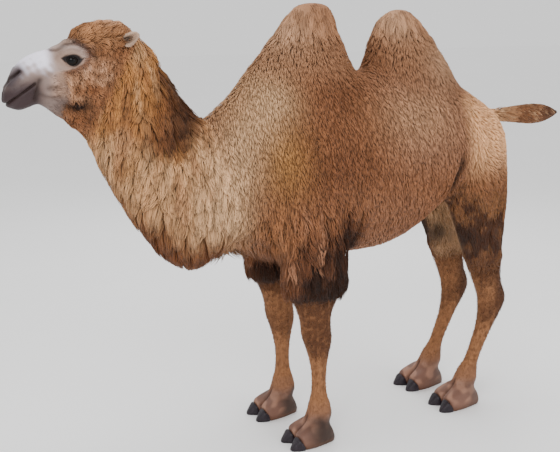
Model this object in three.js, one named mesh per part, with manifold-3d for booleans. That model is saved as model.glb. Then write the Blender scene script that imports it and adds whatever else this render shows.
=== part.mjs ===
// Two-humped camel standing square, life size, millimetres, Z up.
// The animal faces -X, its left side is at -Y, the floor is z = 0.
// The whole body is raised from rings, joined, then parted with thin cuts into named pieces.
import * as THREE from 'three';
import { mergeVertices } from 'three/addons/utils/BufferGeometryUtils.js';
import Module from 'manifold-3d';

const wasm = await Module();
wasm.setup();
const { Manifold, Mesh } = wasm;

// ---------------------------------------------------------------- driving sizes
const GAP = 0.3;              // clear space left by every cut
const SOLE_SINK = 26;         // how far the round soles are trimmed to make flats
const REACH = 3000;           // larger than the animal, used by the cutting blocks

const FORE_Y = 192;           // middle of a foreleg from the midline
const HIND_Y = 160;           // middle of a hind leg from the midline
const KNEE_Z = 580;
const HOCK_Z = 560;
const FETLOCK_Z = 176;
const HUMP_CUT_Z = 1834;      // just above the saddle between the humps

const EYE = { x: -1020, y: 80.5, z: 1904, r: 27 };
const EAR = {
  base: [-826, 84, 1955],
  tip: [-742, 141, 2010],
  open: [-0.45, 0.86, -0.1],
  width: 29,
  depth: 15,
};

// ---------------------------------------------------------------- solids from geometries
/** Turn a closed three.js geometry into a solid, whichever way its faces were wound. */
function solidOf(geometry) {
  const bare = geometry.index ? geometry.clone() : geometry;
  bare.deleteAttribute('uv');
  bare.deleteAttribute('normal');
  const merged = mergeVertices(bare, 1e-3);
  const vertProperties = new Float32Array(merged.attributes.position.array);
  const triVerts = new Uint32Array(merged.index.array);
  const corner = (i) => new THREE.Vector3().fromArray(vertProperties, triVerts[i] * 3);
  let six = 0;
  for (let i = 0; i < triVerts.length; i += 3) six += corner(i).dot(corner(i + 1).cross(corner(i + 2)));
  if (six < 0) {
    for (let i = 0; i < triVerts.length; i += 3) [triVerts[i], triVerts[i + 1]] = [triVerts[i + 1], triVerts[i]];
  }
  return new Manifold(new Mesh({ numProp: 3, vertProperties, triVerts }));
}

/** A geometry carried to the other side of the midline. */
const mirrored = (geometry) => geometry.clone().applyMatrix4(new THREE.Matrix4().makeScale(1, -1, 1));

/** Both sides of a piece as solids: the right one and the left one. */
const bothSides = (geometry) => [solidOf(geometry), solidOf(mirrored(geometry))];

/** Join a list of solids into one. */
const join = (solids) => solids.reduce((sum, solid) => sum.add(solid));

/** Smooth value between four neighbours. */
function blend(p0, p1, p2, p3, t) {
  const m1 = (p2 - p0) / 2;
  const m2 = (p3 - p1) / 2;
  const t2 = t * t;
  const t3 = t2 * t;
  return (2 * t3 - 3 * t2 + 1) * p1 + (t3 - 2 * t2 + t) * m1 + (3 * t2 - 2 * t3) * p2 + (t3 - t2) * m2;
}

/** Fill in smooth stations between the given ones. */
function refine(stations, sub) {
  const rows = stations.map((s) => [...s.a, ...s.b, s.y ?? 0, s.w, s.egg ?? 0, s.sq ?? 2]);
  const out = [];
  for (let i = 0; i + 1 < rows.length; i += 1) {
    const before = rows[Math.max(i - 1, 0)];
    const after = rows[Math.min(i + 2, rows.length - 1)];
    for (let k = 0; k < sub; k += 1) {
      out.push(rows[i].map((v, c) => blend(before[c], v, rows[i + 1][c], after[c], k / sub)));
    }
  }
  out.push(rows[rows.length - 1]);
  return out;
}

/** Points of one ring; grow scales it about its middle, shift moves it in x and z. */
function ring(row, segs, grow, shift) {
  const [ax, az, bx, bz, y, w, egg, sq] = row;
  const points = [];
  for (let k = 0; k < segs; k += 1) {
    const t = (2 * Math.PI * (k + 0.5)) / segs;
    const u = Math.sign(Math.cos(t)) * Math.abs(Math.cos(t)) ** (2 / sq) * grow;
    const v = Math.sign(Math.sin(t)) * Math.abs(Math.sin(t)) ** (2 / sq) * grow;
    points.push(
      (ax + bx) / 2 + ((ax - bx) / 2) * u + shift.x,
      y + w * v * (1 + egg * u),
      (az + bz) / 2 + ((az - bz) / 2) * u + shift.y,
    );
  }
  return points;
}

/** Close a stack of equal rings with a fan to a point at each end. */
function skinOver(rings, segs, tips) {
  const index = [];
  const at = (i, k) => i * segs + (k % segs);
  for (let i = 0; i + 1 < rings.length; i += 1) {
    for (let k = 0; k < segs; k += 1) {
      index.push(at(i, k), at(i, k + 1), at(i + 1, k + 1));
      index.push(at(i, k), at(i + 1, k + 1), at(i + 1, k));
    }
  }
  const n = rings.length * segs;
  for (let k = 0; k < segs; k += 1) {
    index.push(n, at(0, k + 1), at(0, k));
    index.push(n + 1, at(rings.length - 1, k), at(rings.length - 1, k + 1));
  }
  const geometry = new THREE.BufferGeometry();
  geometry.setAttribute('position', new THREE.Float32BufferAttribute([...rings.flat(), ...tips.flat()], 3));
  geometry.setIndex(index);
  return geometry;
}

/**
 * A closed body over stations, with a round cap of the given length at each end.
 * A cap bends round through the angles in steps.
 * A station has its two ends a and b in the side view (x, z), its middle y, its half width w,
 * egg (wider toward a) and sq (2 is round, more is squarer).
 */
function loft(stations, { segs = 16, sub = 2, caps = [0, 0], steps = [0.5, 1.0] } = {}) {
  const rows = refine(stations, sub);
  const last = rows.length - 1;
  const mid = (r) => new THREE.Vector2((r[0] + r[2]) / 2, (r[1] + r[3]) / 2);
  const outA = mid(rows[0]).sub(mid(rows[1])).normalize();
  const outB = mid(rows[last]).sub(mid(rows[last - 1])).normalize();
  const cap = (row, dir, length, angles) => angles.map((phi) =>
    ring(row, segs, Math.cos(phi), dir.clone().multiplyScalar(length * Math.sin(phi))));
  const rings = rows.map((row) => ring(row, segs, 1, { x: 0, y: 0 }));
  if (caps[0] > 0) rings.unshift(...cap(rows[0], outA, caps[0], [...steps].reverse()));
  if (caps[1] > 0) rings.push(...cap(rows[last], outB, caps[1], steps));
  const tip = (row, dir, length) => {
    const p = mid(row).addScaledVector(dir, length);
    return [p.x, row[4], p.y];
  };
  return skinOver(rings, segs, [tip(rows[0], outA, caps[0]), tip(rows[last], outB, caps[1])]);
}

/** A round lump with three radii, tilted in the side view. */
function lump(center, radii, tilt = 0, segs = 11) {
  return new THREE.SphereGeometry(1, segs, Math.round(segs * 0.6))
    .rotateX(Math.PI / 2)
    .scale(...radii)
    .rotateY(tilt)
    .translate(...center);
}

/** A block whose outline lies in the side view (x, z), reaching from y0 to y1. */
function sideBlock(outline, y0, y1) {
  const shape = new THREE.Shape(outline.map(([x, z]) => new THREE.Vector2(x, z)));
  const block = new THREE.ExtrudeGeometry(shape, { depth: y1 - y0, bevelEnabled: false });
  return solidOf(block.rotateX(Math.PI / 2).translate(0, y1, 0));
}

/** A block whose outline lies in the front view (y, z), reaching from x0 to x1. */
function frontBlock(outline, x0, x1) {
  const shape = new THREE.Shape(outline.map(([y, z]) => new THREE.Vector2(y, z)));
  const block = new THREE.ExtrudeGeometry(shape, { depth: x1 - x0, bevelEnabled: false });
  return solidOf(block.rotateX(Math.PI / 2).rotateZ(Math.PI / 2).translate(x0, 0, 0));
}

/** Part a body along the line p-q of the side view; the first piece lies left of p to q. */
function part(body, p, q) {
  const line = new THREE.Vector2(q[0] - p[0], q[1] - p[1]).normalize();
  const normal = [-line.y, 0, line.x];
  const offset = normal[0] * p[0] + normal[2] * p[1];
  const left = body.trimByPlane(normal, offset + GAP / 2);
  const right = body.trimByPlane(normal.map((v) => -v), -offset + GAP / 2);
  return [left, right];
}

/** Stations moved sideways by y. */
const sideways = (stations, y) => stations.map((s) => ({ ...s, y: (s.y ?? 0) + y }));

// ---------------------------------------------------------------- trunk and humps
const trunk = loft([
  { a: [-410, 1608], b: [-370, 990], w: 150 },
  { a: [-304, 1696], b: [-275, 1002], w: 205, egg: -0.2 },
  { a: [-194, 1768], b: [-175, 978], w: 240, egg: -0.22 },
  { a: [-70, 1796], b: [-60, 930], w: 266, egg: -0.16 },
  { a: [80, 1805], b: [80, 900], w: 286, egg: -0.1 },
  { a: [240, 1806], b: [240, 898], w: 306, egg: -0.09 },
  { a: [400, 1808], b: [380, 902], w: 326, egg: -0.1 },
  { a: [560, 1814], b: [515, 906], w: 338, egg: -0.11 },
  { a: [720, 1802], b: [650, 954], w: 338, egg: -0.1 },
  { a: [860, 1778], b: [796, 1054], w: 326, egg: -0.07 },
  { a: [980, 1740], b: [908, 1142], w: 308, egg: -0.03 },
  { a: [1085, 1682], b: [1020, 1172], w: 290, egg: 0.04 },
  { a: [1176, 1620], b: [1130, 1180], w: 264, egg: 0.1 },
  { a: [1240, 1560], b: [1212, 1192], w: 208, egg: 0.12 },
], { segs: 22, sub: 1, caps: [50, 48] });

const humpFront = loft([
  { a: [-250, 1480], b: [400, 1540], w: 236 },
  { a: [-322, 1624], b: [428, 1680], w: 234 },
  { a: [-254, 1730], b: [412, 1785], w: 206 },
  { a: [-146, 1862], b: [381, 1862], w: 158 },
  { a: [-84, 1938], b: [349, 1932], w: 124 },
  { a: [-20, 2024], b: [322, 2004], w: 92 },
  { a: [20, 2072], b: [302, 2058], w: 70 },
  { a: [60, 2108], b: [278, 2105], w: 50 },
], { segs: 15, sub: 1, caps: [0, 36] });

const humpRear = loft([
  { a: [470, 1540], b: [1070, 1470], w: 262 },
  { a: [448, 1690], b: [1100, 1590], w: 250 },
  { a: [458, 1780], b: [1026, 1710], w: 214 },
  { a: [473, 1852], b: [946, 1846], w: 168 },
  { a: [489, 1930], b: [886, 1932], w: 130 },
  { a: [512, 2010], b: [832, 2004], w: 98 },
  { a: [544, 2060], b: [789, 2050], w: 73 },
  { a: [596, 2089], b: [745, 2080], w: 46 },
], { segs: 15, sub: 1, caps: [0, 24] });

// ---------------------------------------------------------------- neck, head and ears
const neck = loft([
  { a: [-800, 2040], b: [-990, 1632], w: 92 },
  { a: [-716, 2032], b: [-976, 1585], w: 106 },
  { a: [-644, 1978], b: [-946, 1504], w: 118, egg: 0.06 },
  { a: [-579, 1878], b: [-908, 1411], w: 131, egg: 0.1 },
  { a: [-497, 1744], b: [-860, 1313], w: 146, egg: 0.08 },
  { a: [-419, 1618], b: [-803, 1214], w: 162 },
  { a: [-340, 1600], b: [-725, 1109], w: 184 },
  { a: [-250, 1610], b: [-636, 991], w: 206 },
  { a: [-150, 1620], b: [-490, 905], w: 226 },
  { a: [-50, 1610], b: [-296, 1018], w: 234 },
], { segs: 20, sub: 1, caps: [30, 60] });

const skull = loft([
  { a: [-1294, 1784], b: [-1293, 1728], w: 33 },
  { a: [-1278, 1816], b: [-1268, 1707], w: 46 },
  { a: [-1262, 1855], b: [-1238, 1697], w: 55 },
  { a: [-1232, 1897], b: [-1196, 1702], w: 60 },
  { a: [-1193, 1925], b: [-1150, 1720], w: 61 },
  { a: [-1146, 1944], b: [-1118, 1698], w: 65 },
  { a: [-1095, 1953], b: [-1080, 1668], w: 76 },
  { a: [-1045, 1974], b: [-1034, 1630], w: 90 },
  { a: [-1000, 2012], b: [-1000, 1600], w: 99 },
  { a: [-965, 2056], b: [-978, 1588], w: 104 },
  { a: [-905, 2069], b: [-960, 1584], w: 107 },
  { a: [-842, 2074], b: [-940, 1584], w: 108 },
  { a: [-762, 2064], b: [-900, 1600], w: 102 },
], { segs: 18, sub: 1, caps: [9, 70] });

const orbit = lump([-1016, 55, 1910], [70, 46, 50], 0.3);

// ---------------------------------------------------------------- tail
const tail = loft([
  { a: [1190, 1600], b: [1190, 1480], w: 62 },
  { a: [1262, 1590], b: [1262, 1498], w: 54 },
  { a: [1330, 1580], b: [1330, 1506], w: 43 },
  { a: [1400, 1586], b: [1400, 1490], w: 44 },
  { a: [1480, 1594], b: [1480, 1484], w: 50 },
  { a: [1570, 1598], b: [1570, 1476], w: 52 },
  { a: [1650, 1590], b: [1652, 1484], w: 44 },
  { a: [1715, 1568], b: [1718, 1508], w: 27 },
], { segs: 12, sub: 1, caps: [0, 36] });

// ---------------------------------------------------------------- legs
const FORE = [
  { a: [-130, 1460], b: [200, 1460], w: 54, y: -6 },
  { a: [-170, 1310], b: [235, 1310], w: 86, y: 6 },
  { a: [-172, 1170], b: [258, 1170], w: 106, y: 13 },
  { a: [-150, 1050], b: [266, 1050], w: 117, y: 17 },
  { a: [-136, 950], b: [273, 955], w: 120, y: 17 },
  { a: [-124, 870], b: [276, 880], w: 117, y: 14 },
  { a: [-98, 805], b: [268, 815], w: 105, y: 9 },
  { a: [-58, 755], b: [242, 765], w: 86, y: 4 },
  { a: [-28, 712], b: [206, 712], w: 71, y: 1 },
  { a: [-5, 655], b: [182, 655], w: 63 },
  { a: [9, 600], b: [181, 595], w: 64 },
  { a: [15, 545], b: [192, 530], w: 63 },
  { a: [35, 490], b: [180, 470], w: 54 },
  { a: [56, 420], b: [169, 405], w: 44 },
  { a: [70, 340], b: [161, 330], w: 39 },
  { a: [70, 262], b: [165, 252], w: 40 },
  { a: [56, 208], b: [183, 190], w: 50 },
  { a: [50, 165], b: [191, 130], w: 55 },
  { a: [42, 130], b: [174, 92], w: 54 },
  { a: [24, 96], b: [158, 60], w: 50 },
  { a: [0, 64], b: [140, 40], w: 42 },
];

const HIND = [
  { a: [1020, 1560], b: [1180, 1530], w: 76, y: -24 },
  { a: [966, 1480], b: [1222, 1450], w: 112, y: -2, egg: 0.14 },
  { a: [926, 1370], b: [1254, 1350], w: 134, y: 4, egg: 0.2 },
  { a: [900, 1260], b: [1264, 1250], w: 140, y: 1, egg: 0.16 },
  { a: [890, 1150], b: [1274, 1150], w: 132, y: -3, egg: 0.08 },
  { a: [918, 1040], b: [1273, 1045], w: 116, y: -4 },
  { a: [960, 940], b: [1270, 945], w: 100, y: -4 },
  { a: [1012, 830], b: [1264, 840], w: 84, y: -3 },
  { a: [1055, 730], b: [1266, 745], w: 71, y: -2 },
  { a: [1092, 645], b: [1274, 665], w: 61 },
  { a: [1112, 590], b: [1300, 610], w: 55 },
  { a: [1115, 530], b: [1313, 556], w: 53 },
  { a: [1116, 475], b: [1272, 485], w: 50 },
  { a: [1108, 420], b: [1220, 405], w: 45 },
  { a: [1076, 335], b: [1172, 305], w: 38 },
  { a: [1042, 250], b: [1136, 220], w: 37 },
  { a: [1006, 205], b: [1130, 165], w: 47 },
  { a: [990, 165], b: [1128, 125], w: 52 },
  { a: [972, 130], b: [1104, 85], w: 50 },
  { a: [950, 94], b: [1085, 56], w: 46 },
  { a: [930, 64], b: [1060, 40], w: 40 },
];

/**
 * One toe: heel at x = heel, tip at x = tip, running forward (toward -X).
 * y0 and y1 are the middles of the toe at the heel and at the tip.
 */
function toe(heel, tip, y0, y1) {
  const bottom = -SOLE_SINK;
  const profile = [
    [0.03, 36, 30], [0.11, 86, 46], [0.30, 124, 58], [0.46, 122, 62],
    [0.67, 98, 55], [0.86, 71, 40], [0.96, 40, 26],
  ];
  return loft(profile.map(([t, top, w]) => {
    const x = heel + (tip - heel) * t;
    const y = y0 + (y1 - y0) * t;
    return { a: [x, top], b: [x, bottom], w, y, sq: 2.5 };
  }), { segs: 9, sub: 1, caps: [7, 10], steps: [0.7] });
}

const TOES = {
  fore: [[197, -74, FORE_Y + 18, FORE_Y + 56], [197, -70, FORE_Y - 12, FORE_Y - 58]],
  hind: [[1132, 847, HIND_Y + 20, HIND_Y + 60], [1132, 855, HIND_Y - 12, HIND_Y - 58]],
};

/** A whole leg on the right side: the limb and its two toes. */
function limb(stations, y, toes) {
  return [
    loft(sideways(stations, y), { segs: 11, sub: 1, caps: [40, 8] }),
    ...toes.map((sizes) => toe(...sizes)),
  ];
}

// ---------------------------------------------------------------- the whole animal
const single = [trunk, humpFront, humpRear, neck, skull, tail].map(solidOf);
const paired = [orbit, ...limb(FORE, FORE_Y, TOES.fore), ...limb(HIND, HIND_Y, TOES.hind)];
const whole = join([...single, ...paired.flatMap(bothSides)]).trimByPlane([0, 0, 1], 0);

// ---------------------------------------------------------------- parting
const nodes = {};

const [headAll, behindHead] = part(whole, [-985, 1545], [-690, 2090]);
const [neckPart, torso] = part(behindHead, [-262, 880], [-402, 1700]);
nodes.neck = neckPart;

const [below, humps] = part(torso, [-REACH, HUMP_CUT_Z], [REACH, HUMP_CUT_Z]).reverse();
[nodes.hump_front, nodes.hump_rear] = part(humps, [415, 1700], [415, 2300]);

const [tailless, tailAll] = part(below, [1322, 1400], [1322, 1700]);
[nodes.tail_dock, nodes.tail_tuft] = part(tailAll, [1455, 1400], [1455, 1700]);

/**
 * Block around a leg: its outline in the side view, an inboard wall at y = wall,
 * and a roof that rises outward from low to high.
 */
function legBlock(side, grow, { outline, wall, low, high }) {
  const roof = [[wall - grow, -REACH], [wall - grow, low + grow], [460, high + grow], [460, -REACH]];
  const front = frontBlock(roof.map(([y, z]) => [y * side, z]), -REACH, REACH);
  return front.intersect(sideBlock(outline(grow), -REACH, REACH));
}

const BLOCKS = {
  fore: {
    outline: (g) => [[-215 - g, -50], [288 + g, -50], [288 + g, 1300], [-215 - g, 1300]],
    wall: 78,
    low: 892,
    high: 1110,
  },
  hind: {
    outline: (g) => [[700, -50], [1500, -50], [1500, 1500], [868 - g, 1500], [868 - g, 820], [700, 500]],
    wall: 26,
    low: 1168,
    high: 1330,
  },
};

// each leg: upper part, shank, foot, two nails; cuts run front to rear in the side view
const CUTS = {
  fore: {
    up: [[-400, KNEE_Z], [400, KNEE_Z]],
    low: [[-400, FETLOCK_Z + 26], [400, FETLOCK_Z - 22]],
    nails: [[[-34, 90], [-4, -20]], [[-30, 90], [0, -20]]],
    split: FORE_Y - 2,
  },
  hind: {
    up: [[900, HOCK_Z - 10], [1500, HOCK_Z + 22]],
    low: [[800, FETLOCK_Z + 60], [1500, FETLOCK_Z - 80]],
    nails: [[[887, 90], [917, -20]], [[895, 90], [925, -20]]],
    split: HIND_Y - 1,
  },
};

/** Cut one leg out of a body and into its pieces; gives back what is left of the body. */
function partLeg(bodyWhole, name, kind, side) {
  const leg = bodyWhole.intersect(legBlock(side, 0, BLOCKS[kind]));
  const { up, low, nails, split } = CUTS[kind];
  const [upper, lower] = part(leg, ...up);
  const [shank, foot] = part(lower, ...low);
  nodes[`${name}_upper`] = upper;
  nodes[`${name}_shank`] = shank;
  let sole = foot;
  nails.forEach(([top, bottom], i) => {
    const near = i === 0 ? split : -REACH;
    const far = i === 0 ? REACH : split;
    const tool = (g) => {
      const outline = [[top[0] + g, top[1]], [bottom[0] + g, bottom[1]], [bottom[0] - 400, bottom[1]],
        [top[0] - 400, top[1]]];
      const [lo, hi] = [near * side, far * side].sort((p, q) => p - q);
      return sideBlock(outline, lo - g, hi + g);
    };
    nodes[`${name}_nail_${i === 0 ? 'outer' : 'inner'}`] = sole.intersect(tool(0));
    sole = sole.subtract(tool(GAP));
  });
  nodes[`${name}_foot`] = sole;
  return bodyWhole.subtract(legBlock(side, GAP, BLOCKS[kind]));
}

nodes.trunk = [['fore_right', 1], ['fore_left', -1], ['hind_right', 1], ['hind_left', -1]]
  .reduce((bodyLeft, [name, side]) => partLeg(bodyLeft, name, name.slice(0, 4), side), tailless);

// head: jaw parted along the mouth, nostril slits, eyes and ears
const mouth = (g) => sideBlock([
  [-1330, 1703 + g], [-1282, 1727 + g], [-1236, 1755 + g], [-1196, 1784 + g], [-1166, 1806 + g],
  [-1150, 1801 + g], [-1098 + g, 1750 + g], [-1078 + g, 1600], [-1150, 1500], [-1330, 1500],
], -200, 200);
nodes.lower_jaw = headAll.intersect(mouth(0));

const nostril = loft([
  { a: [-1281, 1801], b: [-1286, 1794], w: 12, y: 34 },
  { a: [-1262, 1829], b: [-1269, 1818], w: 14, y: 41 },
  { a: [-1237, 1857], b: [-1243, 1847], w: 13, y: 48 },
], { segs: 8, sub: 1, caps: [4, 4] });
const ball = (r) => lump([EYE.x, EYE.y, EYE.z], [r, r, r], 0, 10);

const earBase = new THREE.Vector3(...EAR.base);
const earAxis = new THREE.Vector3(...EAR.tip).sub(earBase);
const earLength = earAxis.length();
earAxis.normalize();
const earOpen = new THREE.Vector3(...EAR.open);
earOpen.addScaledVector(earAxis, -earOpen.dot(earAxis)).normalize();
const earAcross = new THREE.Vector3().crossVectors(earAxis, earOpen);

/** A leaf along the ear, grown by a margin and lifted toward the side it opens to. */
function earLeaf(margin, thickness, lift) {
  const segs = 8;
  const steps = [[0, 0.62], [0.2, 0.86], [0.42, 1], [0.64, 0.93], [0.83, 0.66], [0.95, 0.34]];
  const foot = earBase.clone().addScaledVector(earOpen, lift).addScaledVector(earAxis, -Math.max(margin, 0));
  const rings = steps.map(([t, k]) => Array.from({ length: segs }, (_, j) => {
    const a = (2 * Math.PI * j) / segs;
    return foot.clone()
      .addScaledVector(earAxis, earLength * t)
      .addScaledVector(earAcross, Math.cos(a) * (EAR.width * k + margin))
      .addScaledVector(earOpen, Math.sin(a) * (thickness * Math.sqrt(k) + margin))
      .toArray();
  }).flat());
  return skinOver(rings, segs, [foot.toArray(), foot.clone().addScaledVector(earAxis, earLength).toArray()]);
}

const sockets = [nostril, ball(EYE.r + 0.6), earLeaf(0.6, EAR.depth, 0)].flatMap(bothSides);
nodes.head = headAll.subtract(join([mouth(GAP), ...sockets]));
[nodes.eye_right, nodes.eye_left] = bothSides(ball(EYE.r));

const hollowAt = earBase.clone().addScaledVector(earAxis, earLength * 0.58).addScaledVector(earOpen, 14);
const hollows = bothSides(earLeaf(-6, EAR.depth + 4, 15));
const limits = bothSides(lump(hollowAt.toArray(), [40, 40, 40]));
[nodes.ear_right, nodes.ear_left] = bothSides(earLeaf(0, EAR.depth, 0))
  .map((leaf, i) => leaf.subtract(hollows[i].intersect(limits[i])));

// ---------------------------------------------------------------- colours and scene
const FINISH = {
  skin: { color: 0xb0a4a6, roughness: 0.8 },
  tan: { color: 0xb08456, roughness: 0.95 },
  russet: { color: 0x9a6a45, roughness: 0.95 },
  brown: { color: 0x8a6142, roughness: 0.95 },
  leg: { color: 0x93683f, roughness: 0.9 },
  foot: { color: 0x8d6c5c, roughness: 0.85 },
  nail: { color: 0x4a3f48, roughness: 0.35 },
  eye: { color: 0x1c1614, roughness: 0.12 },
};
const finishOf = (name) => {
  if (name.startsWith('eye')) return FINISH.eye;
  if (name.includes('nail')) return FINISH.nail;
  if (name.endsWith('foot')) return FINISH.foot;
  if (name.endsWith('shank')) return FINISH.leg;
  if (name.startsWith('hump') || name === 'tail_tuft') return FINISH.brown;
  if (name === 'lower_jaw') return FINISH.skin;
  if (name === 'head' || name === 'neck' || name.startsWith('ear')) return FINISH.tan;
  return FINISH.russet;
};

/** Give a solid its own mesh with flat shading and its own material. */
function toMesh(name, solid) {
  const data = solid.getMesh();
  const geometry = new THREE.BufferGeometry();
  const positions = new Float32Array(data.numVert * 3);
  for (let i = 0; i < data.numVert; i += 1) {
    for (let c = 0; c < 3; c += 1) positions[i * 3 + c] = data.vertProperties[i * data.numProp + c];
  }
  geometry.setAttribute('position', new THREE.BufferAttribute(positions, 3));
  geometry.setIndex([...data.triVerts]);
  geometry.computeVertexNormals();
  const mesh = new THREE.Mesh(geometry, new THREE.MeshStandardMaterial({ ...finishOf(name), metalness: 0 }));
  mesh.name = name;
  return mesh;
}

const group = new THREE.Group();
group.name = 'camel';
for (const [name, solid] of Object.entries(nodes)) group.add(toMesh(name, solid));

// the origin is the middle of the footprint box, on the floor
const box = new THREE.Box3().setFromObject(group);
const middle = box.getCenter(new THREE.Vector3());
for (const mesh of group.children) mesh.geometry.translate(-middle.x, -middle.y, -box.min.z);

export default group;
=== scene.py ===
"""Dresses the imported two-humped camel: one skin over its solids, a coat of solid locks, eyes and nails.

Everything is in metres in the frame of the solids, +Z up, the nose toward -X, the left side toward -Y.
Places on the body are given on the body plan, whose zero station lies between the forelegs: the plan is
the frame shifted along X, and Plan.shift is read from where the eyes of the solids are.
"""

import logging
import math
from collections.abc import Callable
from dataclasses import dataclass, field
from enum import Enum

import bmesh
import bpy
import numpy as np
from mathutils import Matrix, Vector
from mathutils.bvhtree import BVHTree
from mathutils.kdtree import KDTree


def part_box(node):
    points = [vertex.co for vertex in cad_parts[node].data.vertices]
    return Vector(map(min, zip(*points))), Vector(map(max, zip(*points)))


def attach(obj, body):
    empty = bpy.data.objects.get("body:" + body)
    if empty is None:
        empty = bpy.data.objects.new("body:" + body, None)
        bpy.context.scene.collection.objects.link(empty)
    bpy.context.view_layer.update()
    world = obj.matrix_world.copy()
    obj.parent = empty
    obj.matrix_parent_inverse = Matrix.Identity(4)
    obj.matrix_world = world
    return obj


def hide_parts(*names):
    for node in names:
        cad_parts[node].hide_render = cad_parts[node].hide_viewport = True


Array = np.ndarray
Point = tuple[float, float, float]
Line = tuple[tuple[float, float], ...]
Cut = tuple[tuple[float, float], tuple[float, float]]

LOG = logging.getLogger("camel")
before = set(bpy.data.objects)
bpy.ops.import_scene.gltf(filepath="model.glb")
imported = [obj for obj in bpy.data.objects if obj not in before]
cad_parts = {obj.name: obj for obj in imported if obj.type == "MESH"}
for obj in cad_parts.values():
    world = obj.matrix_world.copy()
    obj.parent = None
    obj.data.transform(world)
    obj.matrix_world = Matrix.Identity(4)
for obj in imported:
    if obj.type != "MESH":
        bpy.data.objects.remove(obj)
SEED = 20
BAKE_MAP = "OFBake"
BAKE_PATCH = 0.003
MARKING = "marking"
STRAND = "strand"
BARE = "bare"
EYE_PLAN_X = -1.020
EYE_PLAN_Z = 1.904
WELD = 1e-5
NAIL_FLOOR = 0.0004
PIGMENT_POWER = 1.17
PIGMENT_SHARE = 1.06


# ---------------------------------------------------------------- numbers over the body
def ramp(low: float, high: float, x: Array) -> Array:
    """Smooth step from 0 at low to 1 at high; low may be the larger one."""
    t = np.clip((x - low) / (high - low), 0.0, 1.0)
    return t * t * (3.0 - 2.0 * t)


def blob(plan: Array, centre: Point, radii: Point) -> Array:
    """Soft spot of 1 at a centre, on both sides of the body.

    Args:
        plan: Places, one row each.
        centre: Middle of the spot, with y as the distance from the midline.
        radii: Reach of the spot along each axis.

    Returns:
        The strength at each place.
    """
    q = np.column_stack([plan[:, 0], np.abs(plan[:, 1]), plan[:, 2]])
    return np.exp(-(((q - np.array(centre)) / np.array(radii)) ** 2).sum(1))


def from_line(plan: Array, line: Line) -> Array:
    """Distance in the side view from a line through (x, z) points.

    Args:
        plan: Places, one row each.
        line: Points (x, z) of the line.

    Returns:
        The distance of each place.
    """
    side = plan[:, [0, 2]]
    best = np.full(len(plan), np.inf)
    for start, end in zip(line, line[1:]):
        a, run = np.array(start), np.array(end) - np.array(start)
        t = np.clip((side - a) @ run / (run @ run), 0.0, 1.0)
        best = np.minimum(best, np.linalg.norm(side - (a + t[:, None] * run), axis=1))
    return best


def band(plan: Array, line: Line, width: float) -> Array:
    """Soft stripe along a line of the side view."""
    return np.exp(-((from_line(plan, line) / width) ** 2))


def waves(plan: Array, pitch: float, seed: int, stretch: Point = (1.0, 1.0, 1.0)) -> Array:
    """Smooth uneven field of about -1 to 1.

    Args:
        plan: Places, one row each.
        pitch: Distance from crest to crest.
        seed: Picks the pattern.
        stretch: How much longer the crests are along each axis.

    Returns:
        The value at each place.
    """
    rng = np.random.default_rng(seed)
    way = rng.normal(size=(9, 3))
    way /= np.linalg.norm(way, axis=1, keepdims=True)
    way *= rng.uniform(0.7, 1.5, (9, 1)) * 2.0 * math.pi / pitch / np.array(stretch)
    return np.cos(plan @ way.T + rng.uniform(0, 2 * math.pi, 9)).sum(1) / 3.4


def unit(v: Array) -> Array:
    """Rows of a matrix scaled to length one."""
    return v / np.maximum(np.linalg.norm(v, axis=-1, keepdims=True), 1e-12)


def shifted(line: Line, dx: float, dz: float) -> Line:
    """A line of the side view moved along."""
    return tuple((x + dx, z + dz) for x, z in line)


def layered(start: float, count: int, layers: tuple[tuple[float, Array], ...]) -> Array:
    """A value at each place, from layers mixed in one over another.

    Args:
        start: The value before the first layer.
        count: How many places.
        layers: The value and the share of each layer.

    Returns:
        The value at each place.
    """
    out = np.full(count, start)
    for value, share in layers:
        out += (value - out) * np.clip(share, 0, 1)
    return out


class Tone(Enum):
    """The colours of the animal, as it is seen in daylight."""

    RUSSET = "966849"
    RUSSET_PINK = "a87d62"
    RUSSET_DEEP = "7a5035"
    OCHRE = "aa7d4c"
    SAND = "cfab86"
    TAN = "ae7d4d"
    TAN_DARK = "74492a"
    UMBER = "4a2c1c"
    # very dark brown of mane, chaps and thigh fringe; also laid as painted shade in the flank crease, face
    # folds and under the jaw
    SOOT = "2c1a10"
    CROWN = "a67a57"
    WOOL = "94694a"
    WOOL_PALE = "c9a081"
    HUMP = "9c7356"
    HUMP_TUFT = "c6a384"
    RUMP = "f2bf90"
    THIGH = "8a6242"
    GASKIN = "78543b"
    LILAC = "e8e4f0"
    BLUSH = "a8948c"
    BLUSH_DARK = "806f68"
    LIP = "3d2e31"
    NOSTRIL = "5b5153"
    LID = "1b1312"
    LID_PALE = "9a8273"
    EAR = "b8a08d"
    LEG = "9a6f4e"
    LEG_DARK = "63422b"
    PAD = "7e5f52"
    PAD_PINK = "a9836f"
    HEEL = "3a2c25"
    TAIL = "80593d"

    def linear(self) -> Array:
        """The pigment in linear light, a little deeper than the look, because hair scatters light."""
        c = np.array([int(self.value[i : i + 2], 16) for i in (0, 2, 4)]) / 255.0
        seen = np.where(c <= 0.04045, c / 12.92, ((c + 0.055) / 1.055) ** 2.4)
        return PIGMENT_SHARE * seen**PIGMENT_POWER


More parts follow.
